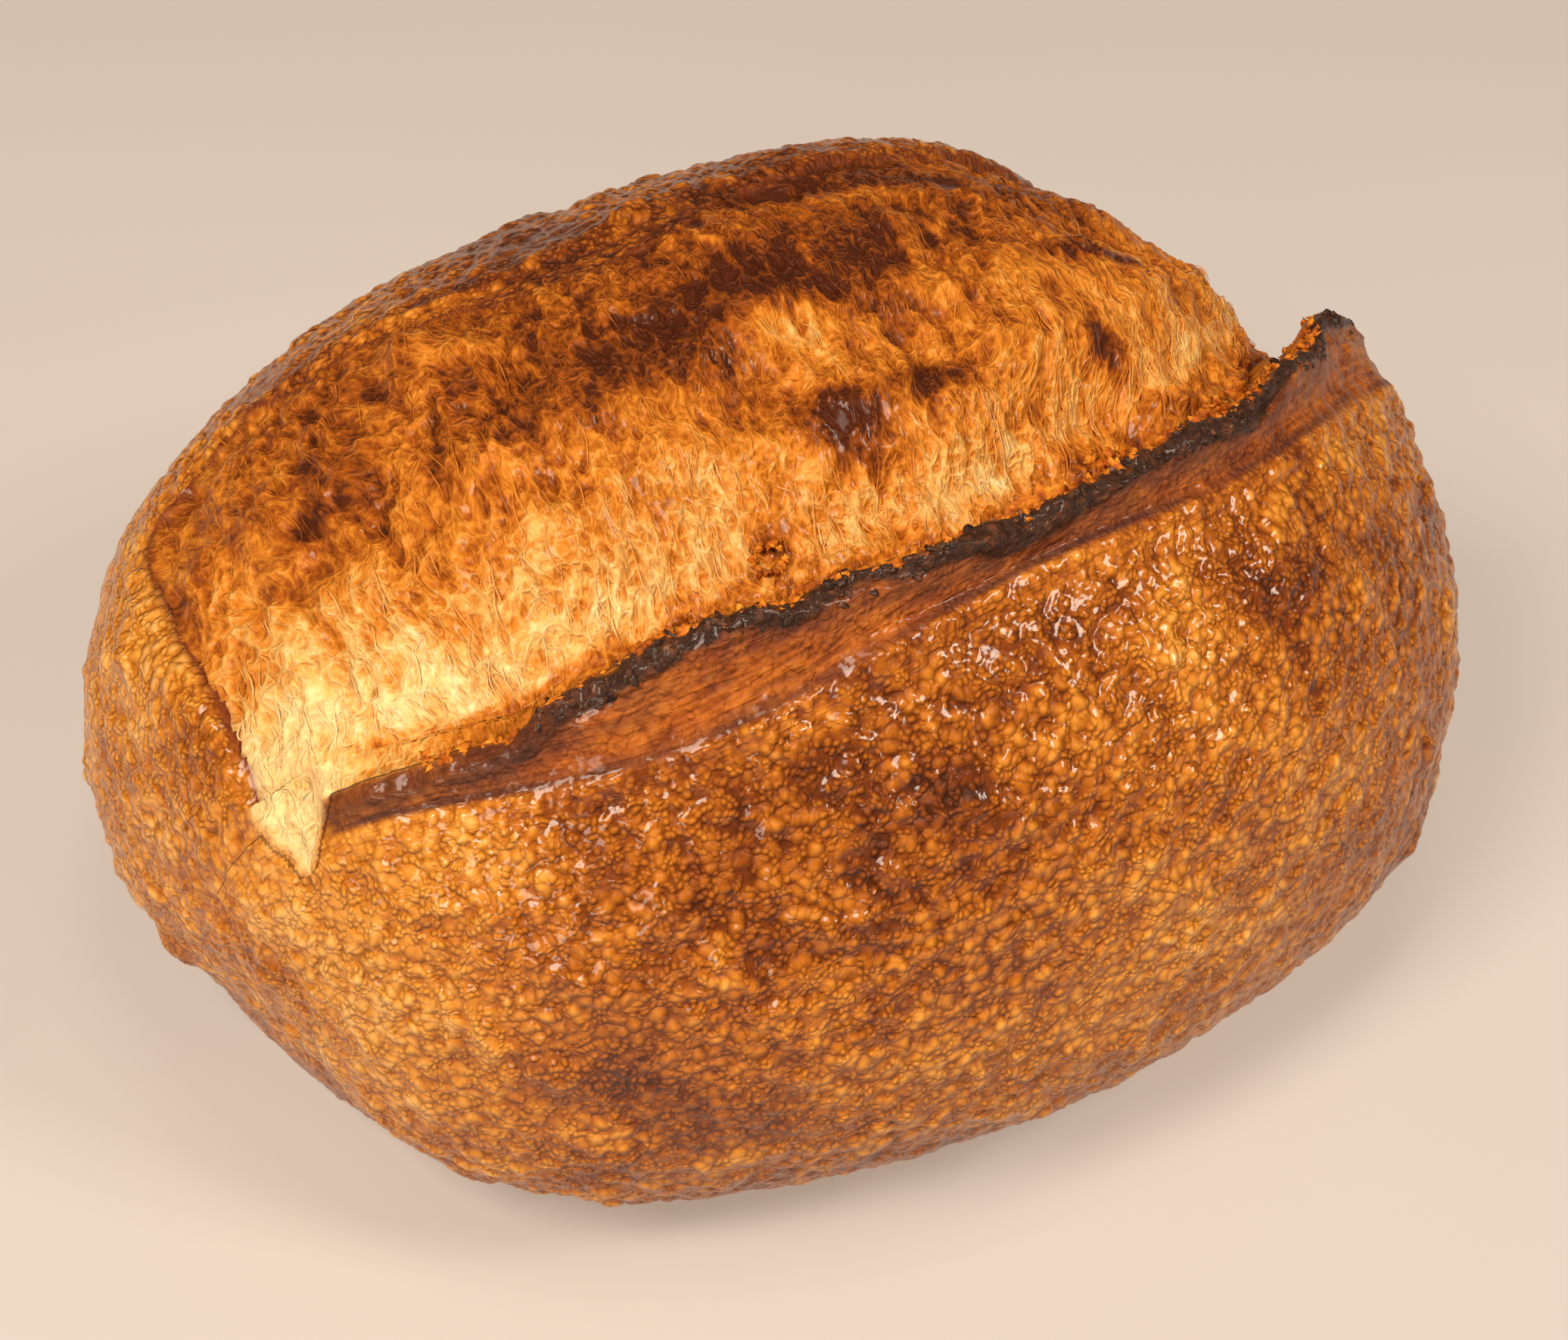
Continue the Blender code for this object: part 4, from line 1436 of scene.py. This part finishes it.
def flake_sides(frame, reach, height, phase, draw):
    """The points of a ragged, curled flake: its front side, then its back side."""
    spot, along, up, face = frame
    turn = 2.0 * np.pi * np.arange(FLAKE_CORNERS) / FLAKE_CORNERS
    ring = np.linspace(0.0, 1.0, FLAKE_RINGS + 1)[1:, None]
    share = ring * (1.0 + 0.22 * draw.normal(size=FLAKE_CORNERS).clip(-1.5, 1.5))
    flat_x, flat_y = reach * share * np.cos(turn), height * share * np.sin(turn)
    curl = 0.0007 * np.sin(flat_x / reach * 2.4 + phase) + 0.0003 * draw.normal(size=share.shape)
    thick = (FLAKE_THICKNESS * (1.0 - 0.7 * ring**3))[..., None] * face
    middle = spot + 0.6 * height * up
    sheet = middle + flat_x[..., None] * along + flat_y[..., None] * up + curl[..., None] * face
    sides = ((middle + thick[0], sheet + thick), (middle - thick[0], sheet - thick))
    return [np.concatenate((centre, rings.reshape(-1, 3))) for centre, rings in sides]


def make_flakes(surface, normals):
    """Thin torn flakes that stand up from the lip's inner side."""
    draw = np.random.default_rng(SEED + 230)
    sides = []
    for number, (x, reach, height) in enumerate(FLAKES):
        sides += flake_sides(flake_frame(surface, normals, x), reach, height, number, draw)
    faces = flake_faces(FLAKE_RINGS, FLAKE_CORNERS)
    first = len(sides[0]) * 2 * np.arange(len(FLAKES))
    points, faces = np.concatenate(sides), faces[None] + first[:, None, None]
    loose_piece("torn_flakes", points, faces, {}, toast_material())


def flake_faces(rings, around):
    """Triangles of a flake: two discs of rings, and the rim between them."""
    here = np.arange(around)
    after = (here + 1) % around
    side = 1 + rings * around
    faces = []
    for base, flip in ((0, False), (side, True)):
        parts = [np.stack((np.full(around, base), base + 1 + here, base + 1 + after), axis=-1)]
        for ring in range(rings - 1):
            inner, outer = base + 1 + ring * around, base + 1 + (ring + 1) * around
            parts.append(np.stack((inner + here, outer + here, outer + after), axis=-1))
            parts.append(np.stack((inner + here, outer + after, inner + after), axis=-1))
        block = np.concatenate(parts)
        faces.append(block[:, ::-1] if flip else block)
    rim, other = 1 + (rings - 1) * around, side + 1 + (rings - 1) * around
    faces.append(np.stack((rim + here, other + here, other + after), axis=-1))
    faces.append(np.stack((rim + here, other + after, rim + after), axis=-1))
    return np.concatenate(faces)


def make_loose_bits(surface):
    """All that lies on the surface or stands up from it."""
    normals = surface.face_directions()
    make_strands(surface, normals)
    make_lip_bits(surface, normals)
    make_knobs(surface, normals)
    make_flakes(surface, normals)


def bit_material(name, ramp, scale, gloss):
    """A small toasted or burnt bit, mottled between a few browns."""
    graph = Graph(name)
    sockets = graph.shader.inputs
    graph.feed(sockets["Base Color"], graph.ramp(graph.noise(scale), ramp))
    graph.feed(sockets["Normal"], graph.bump(graph.noise(2.2 * scale), 0.8, 0.0004))
    sockets["Roughness"].default_value = 0.55
    sockets["Specular IOR Level"].default_value = 0.15
    sockets["Coat Weight"].default_value = gloss
    sockets["Coat Roughness"].default_value = 0.25
    return graph.material


def char_material():
    return bit_material("char", CHAR_RAMP, 500.0, 0.35)


def toast_material():
    return bit_material("toasted_crumb", TOAST_RAMP, 420.0, 0.0)


def strand_material():
    """Crumb strands, coloured as the crumb under them but a little paler."""
    graph = Graph("crumb_strand")
    bake = graph.summed(-0.30, ((graph.paint("bake"), 1.0), (graph.noise(900.0, 2.0), 0.40)))
    graph.feed(graph.shader.inputs["Base Color"], graph.ramp(bake, CRUMB_RAMP))
    graph.shader.inputs["Roughness"].default_value = 0.45
    return graph.material


def make_floor():
    """A plain pale surface under the loaf."""
    mesh = bpy.data.meshes.new("floor")
    corners = [(x * FLOOR_SIZE, y * FLOOR_SIZE, 0.0) for x, y in ((-1, -1), (1, -1), (1, 1), (-1, 1))]
    mesh.from_pydata(corners, [], [(0, 1, 2, 3)])
    floor = bpy.data.objects.new("floor", mesh)
    bpy.context.scene.collection.objects.link(floor)
    graph = Graph("pale_surface")
    sockets = graph.shader.inputs
    tint = graph.ramp(graph.noise(3.0, 2.0), ((0.3, FLOOR_COLOUR), (0.7, FLOOR_SHADE)))
    graph.feed(sockets["Base Color"], tint)
    sockets["Roughness"].default_value = 0.75
    sockets["Emission Color"].default_value = (*FLOOR_GLOW, 1.0)
    sockets["Emission Strength"].default_value = 1.0
    mesh.materials.append(graph.material)


def direction(azimuth, elevation):
    """The way towards a place seen at an azimuth, 0 at the front, and an elevation, in degrees."""
    turn, rise = np.radians(azimuth), np.radians(elevation)
    return Vector((np.sin(turn) * np.cos(rise), -np.cos(turn) * np.cos(rise), np.sin(rise)))


def aimed(thing, away, target, distance, roll=0.0):
    """Puts a lamp or camera at a distance in a direction, facing its target."""
    side = Vector((0.0, 0.0, 1.0)).cross(away).normalized()
    up = away.cross(side)
    turn = np.radians(roll)
    across = side * np.cos(turn) + up * np.sin(turn)
    up = away.cross(across)
    axes = Matrix((across, up, away)).transposed().to_4x4()
    thing.matrix_world = Matrix.Translation(Vector(target) + away * distance) @ axes


def make_lights():
    """Soft studio light: four soft lamps and a pale room."""
    for name, azimuth, elevation, distance, size, power, colour in LIGHTS:
        lamp = bpy.data.lights.new(name, "AREA")
        lamp.shape = "RECTANGLE"
        lamp.size, lamp.size_y = size
        lamp.energy = power
        lamp.color = colour
        light = bpy.data.objects.new(name, lamp)
        bpy.context.scene.collection.objects.link(light)
        aimed(light, direction(azimuth, elevation), (0.0, 0.0, 0.05), distance)
    world = bpy.data.worlds.new("room")
    bpy.context.scene.world = world
    world.use_nodes = True
    sockets = world.node_tree.nodes["Background"].inputs
    sockets["Color"].default_value = (*ROOM_COLOUR, 1.0)
    sockets["Strength"].default_value = ROOM_LIGHT


def make_camera():
    """The camera, as the photograph was taken."""
    lens = bpy.data.cameras.new("camera")
    lens.sensor_width = SENSOR_WIDTH
    lens.lens = SENSOR_WIDTH / 2.0 / np.tan(np.radians(CAMERA_VIEW) / 2.0)
    camera = bpy.data.objects.new("camera", lens)
    bpy.context.scene.collection.objects.link(camera)
    aimed(camera, direction(CAMERA_AZIMUTH, CAMERA_ELEVATION), CAMERA_TARGET, CAMERA_DISTANCE, CAMERA_ROLL)
    bpy.context.scene.camera = camera


make_camera()
make_lights()
make_floor()
make_loose_bits(make_surface())
bpy.context.scene.view_settings.view_transform = "Standard"
